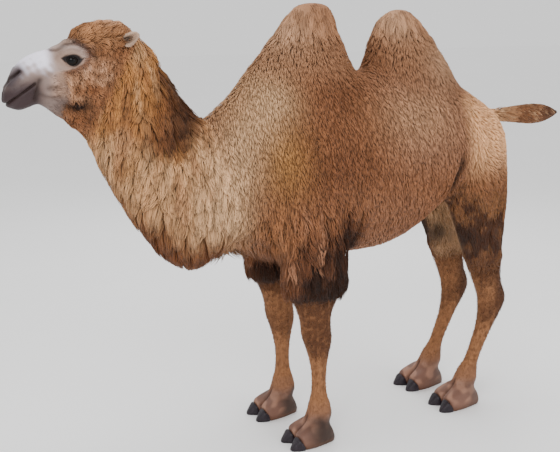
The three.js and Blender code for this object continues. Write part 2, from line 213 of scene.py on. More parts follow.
# ---------------------------------------------------------------- the body plan
@dataclass
class Plan:
    """Where the parts of the body lie in the side view, in metres."""

    shift: float = 0.0
    head_cut: Cut = ((-0.985, 1.545), (-0.690, 2.090))
    neck_cut: Cut = ((-0.262, 0.880), (-0.402, 1.700))
    # the wool of the head starts behind this line; x at each z
    wool_z: tuple[float, ...] = (
        1.60, 1.66, 1.72, 1.79, 1.835, 1.856, 1.870, 1.905, 1.945, 1.966, 1.982, 1.995, 2.10,
    )
    wool_x: tuple[float, ...] = (
        -1.07, -1.065, -1.058, -1.050, -1.052, -1.040, -0.985, -0.950, -0.948, -0.962, -1.0, -1.06, -1.09,
    )
    gaps: list[tuple[float, float]] = field(default_factory=list)

    def __post_init__(self) -> None:
        """Read the shift and the gaps between the toes from the solids."""
        low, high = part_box("eye_left")
        self.shift = EYE_PLAN_X - (low.x + high.x) / 2
        for leg in ("fore_left", "fore_right", "hind_left", "hind_right"):
            inner, outer = (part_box(f"{leg}_nail_{toe}") for toe in ("inner", "outer"))
            middle = (inner[0].y + inner[1].y + outer[0].y + outer[1].y) / 4
            self.gaps.append((inner[0].x + self.shift, middle))

    def of(self, places: Array) -> Array:
        """Places of the frame on the plan."""
        return places + np.array([self.shift, 0.0, 0.0])

    def place(self, x: float, y: float, z: float) -> Vector:
        """A plan place in the frame."""
        return Vector((x - self.shift, y, z))

    def ahead_of(self, cut: Cut, plan: Array) -> Array:
        """Distance toward the nose from a slanting cut of the side view.

        Args:
            cut: Two points (x, z) of the cut, the lower first.
            plan: Places on the plan, one row each.

        Returns:
            The distance of each place, below 0 behind the cut.
        """
        (ax, az), (bx, bz) = cut
        length = math.hypot(bx - ax, bz - az)
        return ((plan[:, 2] - az) * (bx - ax) - (plan[:, 0] - ax) * (bz - az)) / length

    def hump_span(self, plan: Array) -> Array:
        """0 ahead of the humps, 1 from the front hump on."""
        return ramp(-0.45, -0.30, plan[:, 0])

    def head(self, plan: Array) -> Array:
        """Distance ahead of the cut between head and neck."""
        return self.ahead_of(self.head_cut, plan)

    def neck(self, plan: Array) -> Array:
        """Distance ahead of the cut between neck and trunk."""
        return self.ahead_of(self.neck_cut, plan)

    def woolly(self, plan: Array) -> Array:
        """How far a place lies behind the edge of the head's wool."""
        return plan[:, 0] - np.interp(plan[:, 2], self.wool_z, self.wool_x)

    def between_toes(self, plan: Array, width: float) -> Array:
        """1 in the groove between the two toes of each foot.

        Args:
            plan: Places on the plan, one row each.
            width: Half width of the groove.

        Returns:
            The strength at each place.
        """
        share = np.zeros(len(plan))
        for tip, middle in self.gaps:
            back = plan[:, 0] - tip
            groove = np.exp(-(((plan[:, 1] - middle) / width) ** 2))
            groove = groove * ramp(0.0, 0.02, back) * ramp(0.17, 0.12, back)
            share = np.maximum(share, groove * ramp(0.17, 0.13, plan[:, 2]))
        return share

    def fore(self, plan: Array) -> Array:
        """1 on the forelegs, 0 on the trunk."""
        out = np.abs(plan[:, 1])
        roof = 0.90 + 0.57 * (out - 0.078)
        along = ramp(-0.24, -0.20, plan[:, 0]) * ramp(0.33, 0.28, plan[:, 0])
        return along * ramp(0.04, -0.04, plan[:, 2] - roof) * ramp(0.06, 0.10, out)

    def chaps(self, plan: Array) -> Array:
        """1 where long wool hangs over the forelegs and their upper joint."""
        x, y, z = plan.T
        along = ramp(-0.26, -0.16, x) * ramp(0.36, 0.27, x)
        high = along * ramp(1.30, 1.12, z) * ramp(0.12, 0.18, np.abs(y)) * (z > 0.74)
        return np.maximum(self.fore(plan), high)

    def hind(self, plan: Array) -> Array:
        """1 on the hind legs, 0 on the trunk."""
        out = np.abs(plan[:, 1])
        roof = 1.16 + 0.37 * (out - 0.026)
        return ramp(0.80, 0.88, plan[:, 0]) * ramp(0.05, -0.05, plan[:, 2] - roof)


# ---------------------------------------------------------------- markings
@dataclass
class Markings:
    """The colours of skin and coat as one function of the place on the body."""

    plan: Plan
    eye: tuple[float, float] = (EYE_PLAN_X, EYE_PLAN_Z)
    stripe: Line = ((-0.13, 1.72), (-0.28, 1.53), (-0.36, 1.28), (-0.34, 1.14))
    mane: Line = ((-0.60, 1.84), (-0.54, 1.73), (-0.545, 1.66), (-0.60, 1.59))
    throat: Line = ((-0.93, 1.45), (-0.84, 1.28), (-0.70, 1.13), (-0.54, 1.02), (-0.38, 1.04))
    crease: Line = ((0.864, 1.390), (0.847, 1.335), (0.836, 1.270), (0.846, 1.200), (0.856, 1.150))

    def colour(self, p: Array) -> Array:
        """Linear colour at places of the plan.

        Args:
            p: Places on the plan, one row each.

        Returns:
            One linear colour a row.
        """
        x, y, z = p.T
        out = np.abs(y)
        col = np.tile(Tone.RUSSET.linear(), (len(p), 1))

        def lay(tone: Tone, share: Array) -> None:
            """Mix a tone in by a share."""
            col[:] += (tone.linear() - col) * np.clip(share, 0, 1)[:, None]

        drift = waves(p, 0.42, 3)
        # trunk
        lay(Tone.RUSSET_PINK, 0.9 * ramp(0.30, 0.62, x) * ramp(1.25, 1.5, z))
        lay(Tone.RUSSET_DEEP, 0.42 * blob(p, (0.12, 0.28, 1.42), (0.17, 0.3, 0.26)))
        lay(Tone.RUSSET_DEEP, 0.35 * ramp(0.1, 0.9, drift))
        lay(Tone.RUSSET_PINK, 0.8 * ramp(1.12, 0.97, z) * ramp(0.15, 0.35, x))
        lay(Tone.OCHRE, 0.9 * blob(p, (-0.10, 0.25, 1.46), (0.12, 0.4, 0.19)))
        lay(Tone.SAND, 0.35 * blob(p, (0.62, 0.28, 1.62), (0.22, 0.3, 0.14)))
        lay(Tone.RUSSET_PINK, 0.40 * blob(p, (0.48, 0.28, 1.16), (0.30, 0.3, 0.13)))
        # humps
        hump = ramp(1.72, 1.88, z) * self.plan.hump_span(p)
        lay(Tone.HUMP, hump)
        tuft = blob(p, (-0.02, 0.0, 2.02), (0.16, 0.3, 0.12)) + blob(p, (0.60, 0.0, 2.05), (0.13, 0.3, 0.09))
        lay(Tone.HUMP_TUFT, 0.50 * tuft)
        lay(Tone.TAN_DARK, 0.42 * hump * ramp(0.60, 0.50, x) * ramp(0.40, 0.45, x))
        lay(Tone.UMBER, 0.45 * hump * ramp(0.24, 0.34, x) * ramp(0.42, 0.36, x) * ramp(2.0, 2.1, z))
        lay(Tone.HUMP_TUFT, 0.6 * blob(p, (0.85, 0.12, 1.86), (0.13, 0.2, 0.13)))
        # rump and thighs
        lay(Tone.RUMP, 0.95 * ramp(0.86, 0.97, x) * ramp(1.22, 1.46, z) * ramp(1.74, 1.60, z))
        lay(Tone.RUMP, 0.6 * ramp(0.9, 1.05, x) * ramp(1.58, 1.64, z) * ramp(0.12, 0.0, out))
        ragged = 0.035 * waves(p, 0.09, 8) + 0.02 * waves(p, 0.03, 18)
        rear = ramp(0.82, 0.90, x) * ramp(1.34, 1.14, z + ragged)
        lay(Tone.THIGH, rear * 0.95)
        lay(Tone.GASKIN, rear * ramp(1.02, 0.86, z + ragged))
        lay(Tone.SAND, 0.6 * rear * ramp(0.165, 0.115, out) * ramp(0.66, 0.92, z + ragged))
        edge = z + 2.6 * ragged + 0.36 * (x - 0.92)
        lay(Tone.UMBER, 0.85 * rear * ramp(1.20, 1.08, edge) * ramp(0.85, 0.95, z - 1.6 * ragged)
            * ramp(0.10, 0.16, out))
        lay(Tone.SOOT, 0.65 * blob(p, (0.97, 0.26, 0.99), (0.06, 0.4, 0.07)) * (out > 0.12))
        # painted shade along the rear edge of the thighs
        lay(Tone.UMBER, 0.6 * rear * ramp(1.20, 1.27, x) * ramp(0.80, 0.90, z))
        lay(Tone.SOOT, 0.9 * blob(p, (1.015, 0.090, 0.950), (0.075, 0.06, 0.062)))
        # neck
        neck = ramp(-0.03, 0.06, self.plan.neck(p))
        lay(Tone.TAN, neck)
        lay(Tone.SAND, 0.52 * neck * ramp(1.66, 1.50, z + 0.08 * waves(p, 0.25, 6)))
        streak = waves(p, 0.075, 5, (1.0, 1.0, 6.0))
        lay(Tone.RUSSET, 0.45 * neck * ramp(0.1, 0.9, streak))
        lay(Tone.SAND, 0.35 * neck * ramp(-0.1, -0.9, streak))
        lay(Tone.SAND, 0.85 * band(p, self.stripe, 0.13) * ramp(0.0, 0.06, 0.06 + self.plan.neck(p)) * neck)
        lay(Tone.SAND, 0.9 * band(p, self.stripe, 0.115))
        # dark vertical streaks on the neck side: painted shade of furrows in the wool
        furrow_shade = ramp(0.66, 0.90, waves(p, 0.030, 47, (1.0, 1.0, 7.0)))
        lay(Tone.TAN_DARK, 0.5 * furrow_shade * blob(p, (-0.46, 0.16, 1.30), (0.15, 0.3, 0.22)))
        # painted shade: the underside of the throat and its hanging fringe darkened where they lie in shadow
        lay(Tone.TAN_DARK, band(p, self.throat, 0.092) * ramp(-0.10, 0.0, self.plan.neck(p))
            * ramp(1.34, 1.15, z))
        lay(Tone.TAN_DARK, 0.5 * band(p, self.throat, 0.075) * neck)
        lay(Tone.TAN_DARK, 0.5 * neck * ramp(0.1, -0.02, self.plan.head(p) + 0.19) * ramp(1.9, 1.7, z)
            * ramp(1.5, 1.62, z))
        lay(Tone.RUSSET_DEEP, 0.6 * band(p, shifted(self.mane[1:], -0.055, 0.0), 0.060) * neck)
        lay(Tone.UMBER, 0.82 * band(p, self.mane, 0.076) * neck)
        lay(Tone.SOOT, 0.35 * band(p, self.mane[:3], 0.045) * neck)
        lay(Tone.SAND, 0.55 * blob(p, (-0.735, 0.08, 1.955), (0.045, 0.12, 0.05)))
        # forelegs
        chaps = self.plan.chaps(p)
        lay(Tone.RUSSET, chaps)
        sweep = z + 1.8 * ragged - 0.50 * np.clip(x - 0.02, -0.2, 0.22)
        lay(Tone.UMBER, 0.82 * chaps * ramp(1.17, 1.00, sweep) * (0.45 + 0.55 * ramp(-0.16, -0.02, x)))
        tips = ramp(0.15, 0.9, waves(p, 0.040, 45, (1.0, 1.0, 5.0)))
        lay(Tone.RUSSET_PINK, 0.6 * chaps * tips * ramp(0.84, 1.0, z) * ramp(0.16, 0.05, x))
        lay(Tone.SOOT, 0.85 * chaps * ramp(1.02, 0.90, sweep) * ramp(-0.12, 0.0, x))
        lay(Tone.OCHRE, 0.15 * chaps * ramp(-0.02, -0.12, x) * ramp(1.0, 1.1, z))
        # lower legs
        leg = ramp(0.80, 0.74, z + 0.5 * ragged)
        fleck = waves(p, 0.032, 20)
        hind_leg = ramp(0.6, 0.7, x)
        lay(Tone.LEG_DARK, leg)
        lay(Tone.LEG, leg * ramp(0.57, 0.35, z + ragged + 0.035 * fleck))
        lay(Tone.LEG, 0.65 * leg * ramp(0.74, 0.64, z + 0.03 * fleck) * ramp(0.225, 0.185, out)
            * (1 - hind_leg))
        lay(Tone.LEG, 0.6 * leg * hind_leg * ramp(0.205, 0.155, out) * ramp(1.24, 1.18, x))
        lay(Tone.LEG, 0.35 * leg * ramp(0.1, 0.9, -fleck) * ramp(0.45, 0.52, z))
        lay(Tone.LEG, hind_leg * blob(p, (1.165, 0.21, 0.600), (0.045, 0.10, 0.075)))
        lay(Tone.UMBER, 0.45 * leg * ramp(1.17, 1.22, x))
        lay(Tone.UMBER, 0.4 * leg * ramp(0.44, 0.52, z + ragged) * ramp(0.60, 0.52, z + ragged))
        lay(Tone.PAD, 0.35 * ramp(0.24, 0.17, z + 0.5 * ragged))
        lay(Tone.LEG_DARK, 0.5 * leg * ramp(0.1, 0.9, fleck) * ramp(0.20, 0.28, z))
        foot = ramp(0.17, 0.10, z)
        lay(Tone.PAD, foot)
        top = waves(p, 0.07, 19)
        lay(Tone.PAD_PINK, 0.75 * foot * ramp(-0.3, 0.6, top) * ramp(0.03, 0.06, z))
        lay(Tone.HEEL, 0.9 * blob(p, (0.080, 0.270, 0.070), (0.068, 0.080, 0.060)))
        heel = ramp(0.03, 0.11, x) * ramp(0.5, 0.4, x) + 0.55 * ramp(0.97, 1.08, x)
        lay(Tone.HEEL, 0.85 * ramp(0.16, 0.09, z + 0.4 * ragged) * heel)
        lay(Tone.LEG_DARK, 0.6 * ramp(0.035, 0.012, z))
        # painted shade in the groove between the toes
        lay(Tone.UMBER, 0.75 * self.plan.between_toes(p, 0.009))
        # tail
        tail = ramp(1.26, 1.31, x) * ramp(1.44, 1.47, z)
        lay(Tone.TAIL, 0.9 * tail)
        lay(Tone.TAIL, ramp(1.36, 1.44, x) * tail)
        lay(Tone.UMBER, 0.7 * ramp(1.50, 1.72, x + 0.06 * waves(p, 0.05, 4)) * tail)
        lay(Tone.SAND, 0.4 * tail * ramp(0.3, 0.9, waves(p, 0.03, 21)))
        lay(Tone.SAND, 0.28 * tail * ramp(1.44, 1.30, x + 0.04 * waves(p, 0.03, 22)))
        # flank crease and body folds: painted shade darkens the fold of the flank
        lay(Tone.SOOT, 0.85 * band(p, self.crease, 0.020) * ramp(0.18, 0.25, out))
        self._head(p, lay)
        return np.clip(col, 0.0, 1.0)

    def _head(self, p: Array, lay: Callable[[Tone, Array], None]) -> None:
        """Lay the colours of the head.

        Args:
            p: Places on the plan.
            lay: Mixes a tone in by a share.
        """
        x, y, z = p.T
        head = ramp(-0.02, 0.02, self.plan.head(p))
        wool = ramp(-0.034, 0.022, self.plan.woolly(p) + 0.012 * waves(p, 0.03, 12))
        lay(Tone.WOOL, head * wool)
        lay(Tone.CROWN, head * wool * ramp(1.93, 2.0, z))
        pale = ramp(1.945, 1.88, z) * ramp(1.795, 1.845, z) * ramp(-0.82, -0.89, x)
        lay(Tone.WOOL_PALE, head * wool * pale * (0.60 + 0.30 * waves(p, 0.045, 13)))
        lay(Tone.WOOL_PALE, 0.7 * head * wool * ramp(2.02, 2.05, z) * ramp(-0.95, -0.90, x))
        margin = ramp(0.050, 0.005, self.plan.woolly(p)) * ramp(1.885, 1.860, z) * ramp(1.735, 1.775, z)
        lay(Tone.WOOL_PALE, 0.55 * head * wool * margin)
        lay(Tone.TAN_DARK, 0.35 * head * wool * ramp(0.2, 0.9, waves(p, 0.06, 14)))
        lay(Tone.WOOL_PALE, 0.45 * head * wool * blob(p, (-1.005, 0.10, 1.760), (0.045, 0.08, 0.018)))
        lay(Tone.TAN_DARK, 0.75 * head * wool * blob(p, (-0.948, 0.11, 1.800), (0.022, 0.08, 0.026)))
        bare = head * (1 - wool)
        lay(Tone.BLUSH, bare)
        lay(Tone.BLUSH_DARK, 0.85 * bare * ramp(1.875, 1.77, z + 0.02 * waves(p, 0.04, 15)))
        lay(Tone.LID_PALE, 0.8 * bare * ramp(1.955, 1.975, z) * ramp(-1.11, -1.09, x))
        lay(Tone.LILAC, bare * ramp(1.835, 1.905, z + 0.016 * waves(p, 0.04, 16)) * ramp(-1.075, -1.125, x))
        # painted shadow of the fold that runs up from the mouth corner
        lay(Tone.BLUSH_DARK, 0.55 * bare * blob(p, (-1.135, 0.06, 1.838), (0.045, 0.06, 0.026)))
        slit = np.exp(-((from_line(p, ((-1.270, 1.818), (-1.232, 1.862))) / 0.028) ** 2))
        lay(Tone.NOSTRIL, 1.1 * slit * bare)
        lay(Tone.WOOL_PALE, 0.40 * bare * margin * ramp(-0.075, -0.020, self.plan.woolly(p)))
        lips = ramp(0.040, -0.034, z - 1.826 - 0.28 * np.minimum(x + 1.19, 0.0))
        lips = lips * ramp(-1.118, -1.182, x + 0.2 * (z - 1.79))
        lay(Tone.LIP, bare * lips * 0.95)
        # dark bands along the mouth, nostril slits, lip corner, brow, cheek wrinkles and lid crease: painted
        # shade in the folds
        for line, width, share in (
            (Face.mouth, 0.006, 0.75),
            (Face.nostril, 0.006, 0.9),
            (Face.corner, 0.014, 0.7),
            (Face.brow, 0.0070, 0.8),
            (Face.cheek_upper, 0.013, 0.50),
            (Face.cheek_lower, 0.008, 0.35),
            (Face.crease, 0.007, 0.30),
        ):
            lay(Tone.SOOT, share * bare * band(p, line, width))
        ex, ez = self.eye
        ring = np.exp(-(((x - ex + 0.008) / 0.064) ** 2 + ((z - ez - 0.004) / 0.047) ** 2) ** 2)
        lay(Tone.LID_PALE, 0.9 * ring * head)
        # painted shade along the orbit fold and behind the brow fold
        lay(Tone.TAN_DARK, 0.7 * head * band(p, Face.orbit, 0.008))
        lay(Tone.UMBER, 0.75 * head * band(p, Face.brow[3:] + ((-0.942, 1.925),), 0.010))
        along = (x - ex - 0.003) / 0.044
        above = z - ez - 0.007 + 0.05 * (x - ex)
        half = np.where(above > 0, 0.0180, 0.0310) * np.clip(1 - along**2, 0, 1)
        lay(Tone.LID, 0.98 * ramp(0.0065, -0.0030, np.abs(above) - half) * head * (np.abs(along) < 1.06))
        # painted shadow in the recess under the jaw
        lay(Tone.SOOT, 1.1 * head * blob(p, (-1.008, 0.08, 1.724), (0.058, 0.07, 0.021)))
        lay(Tone.TAN_DARK, 0.5 * head * blob(p, (-1.0, 0.05, 1.67), (0.07, 0.08, 0.03)))
        ear = ramp(0.100, 0.112, np.abs(y)) * ramp(1.93, 1.945, z)
        ear = ear * ramp(-0.86, -0.85, x) * ramp(-0.70, -0.71, x)
        lay(Tone.EAR, 0.85 * ear)
        # painted shade in the hollow of each ear
        lay(Tone.LID, 0.85 * ear * blob(p, (-0.797, 0.117, 1.988), (0.030, 0.04, 0.015)))


# ---------------------------------------------------------------- meshes in arrays
@dataclass
class Net:
    """A triangle mesh held in arrays, with the few things that shaping a skin needs."""

    verts: Array
    tris: Array
    edges: Array = field(init=False)
    valence: Array = field(init=False)

    def __post_init__(self) -> None:
        """Find the edges and how many meet at each vertex."""
        pairs = np.sort(np.vstack([self.tris[:, [0, 1]], self.tris[:, [1, 2]], self.tris[:, [2, 0]]]), axis=1)
        self.edges = np.unique(pairs, axis=0)
        self.valence = np.maximum(np.bincount(self.edges.ravel(), minlength=len(self.verts)), 1)

    @classmethod
    def read(cls, mesh: bpy.types.Mesh) -> "Net":
        """Take the vertices and triangles of a mesh.

        Args:
            mesh: The mesh to read.

        Returns:
            The net.
        """
        verts = np.empty(len(mesh.vertices) * 3)
        mesh.vertices.foreach_get("co", verts)
        mesh.calc_loop_triangles()
        tris = np.empty(len(mesh.loop_triangles) * 3, np.int32)
        mesh.loop_triangles.foreach_get("vertices", tris)
        return cls(verts.reshape(-1, 3), tris.reshape(-1, 3))

    def around(self, values: Array) -> Array:
        """The mean of each vertex's neighbours, for a value or a vector at each vertex.

        Args:
            values: One row for each vertex.

        Returns:
            The means, in the same form.
        """
        a, b = self.edges.T
        n = len(self.verts)
        flat = values.reshape(n, -1)
        cols = [np.bincount(a, flat[b, c], n) + np.bincount(b, flat[a, c], n) for c in range(flat.shape[1])]
        return (np.column_stack(cols) / self.valence[:, None]).reshape(values.shape)

    def relaxed(self, values: Array, rounds: int, share: Array | float = 0.5) -> Array:
        """Values drawn toward those around them, round by round.

        Args:
            values: One row for each vertex.
            rounds: How many rounds.
            share: How far a round goes, for all vertices or for each.

        Returns:
            The values after the last round.
        """
        weight = share[:, None] if isinstance(share, np.ndarray) and values.ndim > 1 else share
        for _ in range(rounds):
            values = values + (self.around(values) - values) * weight
        return values

    def normals(self) -> Array:
        """Outward direction at each vertex.

        Returns:
            One direction of length one for each vertex.
        """
        a, b, c = corners_of(self)
        face = np.cross(b - a, c - a)
        n = len(self.verts)
        total = [sum(np.bincount(self.tris[:, k], face[:, axis], n) for k in range(3)) for axis in range(3)]
        return unit(np.column_stack(total))

    def write(self, name: str) -> bpy.types.Object:
        """Make an object of the mesh, smooth all over.

        Args:
            name: Name of the object and its mesh.

        Returns:
            The object.
        """
        mesh = bpy.data.meshes.new(name)
        fill_mesh(mesh, self.verts, self.tris.ravel(), np.full(len(self.tris), 3))
        return add_object(name, mesh)


def corners_of(net: Net) -> Array:
    """The three corner places of every triangle, corner first."""
    return np.stack([net.verts[net.tris[:, i]] for i in range(3)])


def fill_mesh(mesh: bpy.types.Mesh, verts: Array, corners: Array, sizes: Array) -> None:
    """Fill an empty mesh from arrays, shaded smooth.

    Args:
        mesh: The mesh to fill.
        verts: Vertex places, one row each.
        corners: Vertex of each face corner, face by face.
        sizes: Number of corners of each face.
    """
    mesh.vertices.add(len(verts))
    mesh.vertices.foreach_set("co", np.ascontiguousarray(verts, np.float32).ravel())
    mesh.loops.add(len(corners))
    mesh.loops.foreach_set("vertex_index", corners.astype(np.int32))
    mesh.polygons.add(len(sizes))
    starts = np.concatenate([[0], np.cumsum(sizes)[:-1]]).astype(np.int32)
    mesh.polygons.foreach_set("loop_start", starts)
    mesh.update(calc_edges=True)
    mesh.validate()
    mesh.polygons.foreach_set("use_smooth", np.ones(len(sizes), bool))


def set_attribute(mesh: bpy.types.Mesh, name: str, kind: str, values: Array) -> None:
    """Give a mesh a named attribute with one value a vertex.

    Args:
        mesh: The mesh.
        name: Name of the attribute.
        kind: Type of the attribute.
        values: One row for each vertex.
    """
    attribute = mesh.attributes.new(name, kind, "POINT")
    key = {"FLOAT_COLOR": "color", "FLOAT_VECTOR": "vector"}.get(kind, "value")
    attribute.data.foreach_set(key, np.ascontiguousarray(values, np.float32).ravel())


def set_marking(mesh: bpy.types.Mesh, colours: Array) -> None:
    """Store linear colours as the marking of a mesh."""
    set_attribute(mesh, MARKING, "FLOAT_COLOR", np.column_stack([colours, np.ones(len(colours))]))


def add_object(name: str, data: bpy.types.ID) -> bpy.types.Object:
    """Make an object and put it in the scene."""
    obj = bpy.data.objects.new(name, data)
    bpy.context.scene.collection.objects.link(obj)
    return obj


def closed(work: bmesh.types.BMesh, name: str) -> bpy.types.Mesh:
    """Turn worked geometry into a new mesh and free it."""
    mesh = bpy.data.meshes.new(name)
    work.to_mesh(mesh)
    work.free()
    return mesh


def welded(node: str) -> bmesh.types.BMesh:
    """The geometry of a solid, its doubled vertices merged."""
    work = bmesh.new()
    work.from_mesh(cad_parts[node].data)
    bmesh.ops.remove_doubles(work, verts=work.verts, dist=WELD)
    return work


def wrap(obj: bpy.types.Object, voxel: float) -> None:
    """Wrap an object in one even shell of small faces."""
    shell = obj.modifiers.new("shell", "REMESH")
    shell.mode = "VOXEL"
    shell.voxel_size = voxel


# ---------------------------------------------------------------- shader building
class Wire:
    """A number carried by a node tree, with arithmetic."""

    def __init__(self, paint: "Paint", socket: bpy.types.NodeSocket) -> None:
        """Hold the output that carries the value."""
        self.paint = paint
        self.socket = socket

    def _with(self, kind: str, first: "Wire | float", second: "Wire | float") -> "Wire":
        """Add one Math node."""
        return self.paint.add("ShaderNodeMath", {"operation": kind}, {0: first, 1: second})

    def __add__(self, other: "Wire | float") -> "Wire":
        """Sum."""
        return self._with("ADD", self, other)

    __radd__ = __add__

    def __mul__(self, other: "Wire | float") -> "Wire":
        """Product."""
        return self._with("MULTIPLY", self, other)

    __rmul__ = __mul__

    def __sub__(self, other: "Wire | float") -> "Wire":
        """Difference."""
        return self._with("SUBTRACT", self, other)

    def __rsub__(self, other: "Wire | float") -> "Wire":
        """Difference from a number."""
        return self._with("SUBTRACT", other, self)

    def __pow__(self, other: "Wire | float") -> "Wire":
        """Power."""
        return self._with("POWER", self, other)


class Paint:
    """Builds one procedural material."""

    def __init__(self, name: str) -> None:
        """Start an empty material of that name."""
        self.material = bpy.data.materials.new(name)
        self.material.use_nodes = True
        self.tree = self.material.node_tree
        self.tree.nodes.clear()

    def add(self, kind: str, settings: dict, inputs: dict, output: int | str = 0) -> Wire:
        """Add a node.

        Args:
            kind: The node's type name.
            settings: Its properties, set first; "stops" fills a colour ramp.
            inputs: Values or wires by socket index or name.
            output: Which output to carry on.

        Returns:
            The chosen output.
        """
        node = self.tree.nodes.new(kind)
        for key, value in settings.items():
            if key == "stops":
                ramp_of = node.color_ramp
                while len(ramp_of.elements) < len(value):
                    ramp_of.elements.new(0.5)
                for element, (at, colour) in zip(ramp_of.elements, value):
                    element.position = at
                    element.color = colour
            else:
                setattr(node, key, value)
        for key, value in inputs.items():
            if isinstance(value, Wire):
                self.tree.links.new(value.socket, node.inputs[key])
            else:
                node.inputs[key].default_value = value
        return Wire(self, node.outputs[output])

    def place(self) -> Wire:
        """Object coordinates."""
        return self.add("ShaderNodeTexCoord", {}, {}, "Object")

    def attribute(self, name: str, output: str) -> Wire:
        """A named attribute of the mesh."""
        return self.add("ShaderNodeAttribute", {"attribute_name": name}, {}, output)

    def stretched(self, vector: Wire, scale: Point) -> Wire:
        """A vector scaled along each axis."""
        return self.add("ShaderNodeVectorMath", {"operation": "MULTIPLY"}, {0: vector, 1: scale})

    def noise(self, vector: Wire, scale: float, detail: float = 3.0, rough: float = 0.5) -> Wire:
        """Noise of about 0.5 on average."""
        return self.add("ShaderNodeTexNoise", {}, {"Vector": vector, "Scale": scale, "Detail": detail,
                                                   "Roughness": rough})

    def shaded(self, colour: Wire, factor: Wire) -> Wire:
        """A colour times a number."""
        return self.add("ShaderNodeVectorMath", {"operation": "SCALE"}, {0: colour, "Scale": factor})

    def bump(self, height: Wire, distance: float, strength: float = 1.0, under: Wire | None = None) -> Wire:
        """Normals bumped by a height.

        Args:
            height: What rises and falls.
            distance: Height in metres at 1.
            strength: Share of the effect.
            under: Normals that are bumped already.

        Returns:
            The new normals.
        """
        inputs = {"Height": height, "Distance": distance, "Strength": strength}
        if under is not None:
            inputs["Normal"] = under
        return self.add("ShaderNodeBump", {}, inputs)

    def finish(self, colour: "Wire | tuple", roughness: "Wire | float", normal: Wire | None = None,
               **plain: float) -> bpy.types.Material:
        """Close the material with its surface shader.

        Args:
            colour: Base colour.
            roughness: Roughness.
            normal: Bumped normals.
            plain: Other shader sockets by name, with _ for a space.

        Returns:
            The material.
        """
        inputs: dict = {"Base Color": colour, "Roughness": roughness}
        if normal is not None:
            inputs["Normal"] = normal
        inputs.update({key.replace("_", " "): value for key, value in plain.items()})
        shader = self.add("ShaderNodeBsdfPrincipled", {}, inputs)
        out = self.tree.nodes.new("ShaderNodeOutputMaterial")
        self.tree.links.new(shader.socket, out.inputs["Surface"])
        return self.material


@dataclass(frozen=True)
class HideFinish:
    """Skin under the coat: leathery where it is bare, short hair elsewhere."""

    grain: float = 190.0
    pore_depth: float = 0.0006
    hair_depth: float = 0.0022

    def material(self) -> bpy.types.Material:
        """Build the material.

        Returns:
            The material.
        """
        paint = Paint("hide")
        at = paint.place()
        bare = paint.attribute(BARE, "Fac")
        mottle = paint.noise(at, 16.0, 4.0)
        grain = paint.noise(at, self.grain, 3.0, 0.6)
        hair = paint.noise(paint.stretched(at, (150.0, 150.0, 26.0)), 1.0, 3.0, 0.65)
        furred = 1.0 - bare
        tint = 0.78 + mottle * 0.36 + (grain - 0.5) * 0.22 + (hair - 0.5) * furred * 0.55
        colour = paint.shaded(paint.attribute(MARKING, "Color"), tint)
        wrinkle = paint.noise(paint.stretched(at, (26.0, 26.0, 60.0)), 1.0, 4.0, 0.55)
        pores = paint.bump(grain + wrinkle * bare * 1.6, self.pore_depth, 0.9)
        normal = paint.bump(hair * furred, self.hair_depth, 0.9, pores)
        rough = 0.50 + furred * 0.3 + (mottle - 0.5) * 0.16
        return paint.finish(colour, rough, normal, Specular_IOR_Level=0.22)


@dataclass(frozen=True)
class CoatFinish:
    """Wool locks: darker at the root as painted shade deep in the coat, lighter at the tip as painted light,
    streaked along their length.
    """

    name: str
    # root and tip scale the marking: painted shade at the root, painted light at the tip
    root: float = 0.74
    tip: float = 1.10
    spread: float = 0.28
    roughness: float = 0.72

    def material(self) -> bpy.types.Material:
        """Build the material.

        Returns:
            The material.
        """
        paint = Paint(self.name)
        strand = paint.attribute(STRAND, "Vector")
        parts = paint.add("ShaderNodeSeparateXYZ", {}, {0: strand}, "Y")
        own = Wire(paint, parts.socket.node.outputs["Z"])
        streak = paint.noise(paint.stretched(strand, (2.6, 0.9, 97.0)), 1.0, 2.0, 0.6)
        # from root to tip: painted shade deep in the coat, painted light where the tips catch it
        shade = self.root + (parts ** 0.7) * (self.tip - self.root)
        tint = shade * (1.0 + (own - 0.5) * self.spread) * (0.70 + streak * 0.6)
        colour = paint.shaded(paint.attribute(MARKING, "Color"), tint)
        normal = paint.bump(streak, 0.0016, 0.7)
        return paint.finish(colour, self.roughness, normal, Specular_IOR_Level=0.10, Sheen_Weight=0.05,
                            Sheen_Roughness=0.5)


@dataclass(frozen=True)
class HornFinish:
    """Dark half-gloss horn with growth lines."""

    def material(self) -> bpy.types.Material:
        """Build the material.

        Returns:
            The material.
        """
        paint = Paint("nail_horn")
        at = paint.place()
        rings = paint.noise(paint.stretched(at, (420.0, 60.0, 120.0)), 1.0, 3.0)
        stain = paint.noise(at, 34.0, 3.0)
        colour = paint.add("ShaderNodeValToRGB", {"stops": [
            (0.25, (0.006, 0.004, 0.006, 1)),
            (0.55, (0.018, 0.012, 0.017, 1)),
            (0.85, (0.060, 0.044, 0.054, 1)),
        ]}, {0: rings * 0.5 + stain * 0.5})
        return paint.finish(colour, 0.30 + stain * 0.2, paint.bump(rings, 0.0007, 0.7), Coat_Weight=0.15,
                            Coat_Roughness=0.25, Specular_IOR_Level=0.22)


